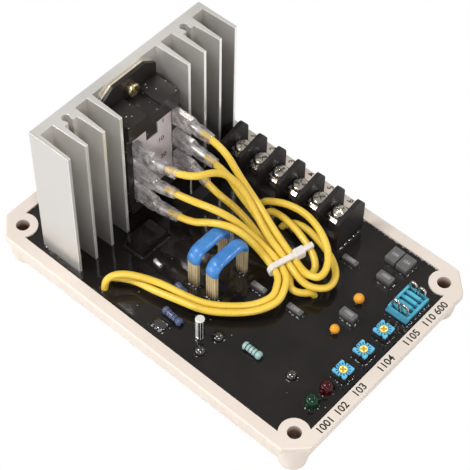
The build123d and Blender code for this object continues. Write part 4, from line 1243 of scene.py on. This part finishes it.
class REGULATOR_OT_links(bpy.types.Operator):
    """Makes the two sleeved links"""
    bl_idname = "regulator.links"
    bl_label = "Links"

    def execute(self, context):
        for number in LINKS:
            model_link(number, context.scene.regulator_links)
        return {"FINISHED"}


class REGULATOR_OT_small_parts(bpy.types.Operator):
    """Makes the lamps, trimmers, header and the other board parts"""
    bl_idname = "regulator.small_parts"
    bl_label = "Board parts"

    def execute(self, context):
        dress("led_green")
        dress("led_red")
        for number in RESISTORS:
            dress("trimmer_cover_%d" % number)
            dress("trimmer_rotor_%d" % number)
            model_resistor(number)
        dress("trimmer_substrates")
        model_header(context.scene.regulator_header)
        model_loops()
        for node in ("box_capacitors_pair", "box_capacitor_mid", "box_capacitor_front"):
            dress(node)
        for number in (1, 2, 3, 4):
            dress("slim_capacitor_%d" % number)
        dress("bead_capacitors")
        dress("electrolytic_can")
        model_potted("potted_domes", 0.0, "dome_black")
        model_potted("optocoupler", 0.7, "dome_black")
        model_potted("low_box", 0.4, "resin_black")
        model_axial()
        dress("long_box")
        return {"FINISHED"}


class REGULATOR_OT_marks(bpy.types.Operator):
    """Prints plain numbers on the rim and on the parts"""
    bl_idname = "regulator.marks"
    bl_label = "Marks"

    def execute(self, context):
        place_marks()
        return {"FINISHED"}


# Camera, lights, surroundings and floor
VIEW_AZIMUTH = 40.52454
VIEW_ELEVATION = 52.48376
VIEW_ROLL = 1.31962
VIEW_DISTANCE = 575.875
VIEW_TARGET = (-4.58318, 7.3623, 16.7)
VIEW_LENS = 118.6322
# Each lamp: name, setting of its power, place, aim and size, in metres
LAMPS = (
    ("Key", "key", (-0.26, -0.4, 0.82), (0, 0, 0.03), (0.3, 0.3)),
    ("Fill", "fill", (0.353, -0.31, 0.4), (0, 0, 0.03), (0.055, 0.055)),
    ("Spark left", "spark", (-0.316, -0.364, 0.65), (0, 0, 0.02), (0.06, 0.06)),
    ("Spark right", "spark", (0.33, 0.38, 0.63), (0, 0, 0.02), (0.06, 0.06)),
    ("Side", "side", (-0.3, -0.6, 0.1), (-0.04, -0.04, 0.04), (0.4, 0.14)),
)
SKY_COLOUR = (1.0, 0.985, 0.965, 1)
SKY_LOW_SHARE = 1.5
FLOOR_COLOUR = (0.82, 0.82, 0.82, 1)


def view_matrix():
    a = math.radians(VIEW_AZIMUTH)
    e = math.radians(VIEW_ELEVATION)
    r = math.radians(VIEW_ROLL)
    back = Vector((math.sin(a) * math.cos(e), -math.cos(a) * math.cos(e), math.sin(e)))
    level = Vector((math.cos(a), math.sin(a), 0))
    rise = back.cross(level)
    right = math.cos(r) * level + math.sin(r) * rise
    up = math.cos(r) * rise - math.sin(r) * level
    matrix = Matrix((right, up, back)).transposed().to_4x4()
    matrix.translation = (Vector(VIEW_TARGET) + back * VIEW_DISTANCE) * MM
    return matrix


def add_camera(scene):
    camera = bpy.data.cameras.new("Camera")
    camera.lens = VIEW_LENS
    camera.sensor_width = 36.0
    camera.sensor_fit = "HORIZONTAL"
    camera.clip_start = 0.01
    eye = bpy.data.objects.new("Camera", camera)
    scene.collection.objects.link(eye)
    eye.matrix_world = view_matrix()
    scene.camera = eye


def add_lamp(scene, name, power, spot, aim, size):
    data = bpy.data.lights.new(name, "AREA")
    data.shape = "RECTANGLE"
    data.size, data.size_y = size
    data.energy = power
    lamp = bpy.data.objects.new(name, data)
    scene.collection.objects.link(lamp)
    lamp.location = spot
    lamp.rotation_euler = (Vector(aim) - Vector(spot)).to_track_quat("-Z", "Y").to_euler()


def pale_floor():
    """White to the camera, to gloss and through clear walls, and matte to all other light"""
    material = bpy.data.materials.new("Pale floor")
    material.use_nodes = True
    tree = material.node_tree
    tree.nodes.clear()
    seen = add_node(tree, "ShaderNodeLightPath").outputs
    either = maths(tree, "MAXIMUM", seen["Is Camera Ray"], seen["Is Glossy Ray"])
    mask = maths(tree, "MAXIMUM", either, seen["Is Transmission Ray"])
    matte = add_node(tree, "ShaderNodeBsdfDiffuse", {"Color": FLOOR_COLOUR}).outputs[0]
    glow = add_node(tree, "ShaderNodeEmission").outputs[0]
    mix = add_node(tree, "ShaderNodeMixShader", {0: mask, 1: matte, 2: glow}).outputs[0]
    add_node(tree, "ShaderNodeOutputMaterial", {0: mix})
    return material


def light_surroundings(strength):
    """Soft light that is stronger from low down, and plain white to the camera"""
    world = bpy.data.worlds.new("Studio")
    bpy.context.scene.world = world
    world.use_nodes = True
    tree = world.node_tree
    tree.nodes.clear()
    way = add_node(tree, "ShaderNodeTexCoord").outputs["Generated"]
    height = add_node(tree, "ShaderNodeSeparateXYZ", {0: way}).outputs["Z"]
    power = map_range(tree, height, 0.15, 0.85, strength * SKY_LOW_SHARE, strength,
                      interpolation_type="SMOOTHSTEP")
    soft = add_node(tree, "ShaderNodeBackground", {"Color": SKY_COLOUR, "Strength": power}).outputs[0]
    white = add_node(tree, "ShaderNodeBackground").outputs[0]
    seen = add_node(tree, "ShaderNodeLightPath").outputs["Is Camera Ray"]
    mix = add_node(tree, "ShaderNodeMixShader", {0: seen, 1: soft, 2: white}).outputs[0]
    add_node(tree, "ShaderNodeOutputWorld", {0: mix})


class REGULATOR_OT_stage(bpy.types.Operator):
    """Sets the camera, the lights, the surroundings and the floor"""
    bl_idname = "regulator.stage"
    bl_label = "Stage"

    def execute(self, context):
        scene = context.scene
        settings = scene.regulator_stage
        scene.view_settings.view_transform = "Standard"
        add_camera(scene)
        for name, setting, spot, aim, size in LAMPS:
            add_lamp(scene, name, getattr(settings, setting), spot, aim, size)
        light_surroundings(settings.ambient)
        drop_selection()
        bpy.ops.mesh.primitive_plane_add(size=settings.floor, location=(0, 0, 0))
        floor = context.object
        floor.name = "floor"
        floor.data.materials.append(pale_floor())
        return {"FINISHED"}


OPERATORS = (
    REGULATOR_OT_case,
    REGULATOR_OT_resin,
    REGULATOR_OT_sink,
    REGULATOR_OT_module,
    REGULATOR_OT_contacts,
    REGULATOR_OT_wires,
    REGULATOR_OT_terminals,
    REGULATOR_OT_links,
    REGULATOR_OT_small_parts,
    REGULATOR_OT_marks,
    REGULATOR_OT_stage,
)


class REGULATOR_PT_panel(bpy.types.Panel):
    """Lists the pieces of the regulator"""
    bl_idname = "REGULATOR_PT_panel"
    bl_label = "Regulator"
    bl_space_type = "VIEW_3D"
    bl_region_type = "UI"
    bl_category = "Regulator"

    def draw(self, context):
        for operator in OPERATORS:
            self.layout.operator(operator.bl_idname)


SETTINGS = (
    ("regulator_case", CaseSettings),
    ("regulator_resin", ResinSettings),
    ("regulator_header", HeaderSettings),
    ("regulator_sleeves", SleeveSettings),
    ("regulator_links", LinkSettings),
    ("regulator_wires", WireSettings),
    ("regulator_stage", StageSettings),
)


def register():
    for name, group in SETTINGS:
        bpy.utils.register_class(group)
        setattr(bpy.types.Scene, name, PointerProperty(type=group))
    for operator in OPERATORS:
        bpy.utils.register_class(operator)
    bpy.utils.register_class(REGULATOR_PT_panel)


def unregister():
    bpy.utils.unregister_class(REGULATOR_PT_panel)
    for operator in reversed(OPERATORS):
        bpy.utils.unregister_class(operator)
    for name, group in reversed(SETTINGS):
        delattr(bpy.types.Scene, name)
        bpy.utils.unregister_class(group)


def main():
    register()
    make_finishes(bpy.context.scene)
    for operator in OPERATORS:
        family, action = operator.bl_idname.split(".")
        getattr(getattr(bpy.ops, family), action)()


if __name__ == "__main__":
    main()
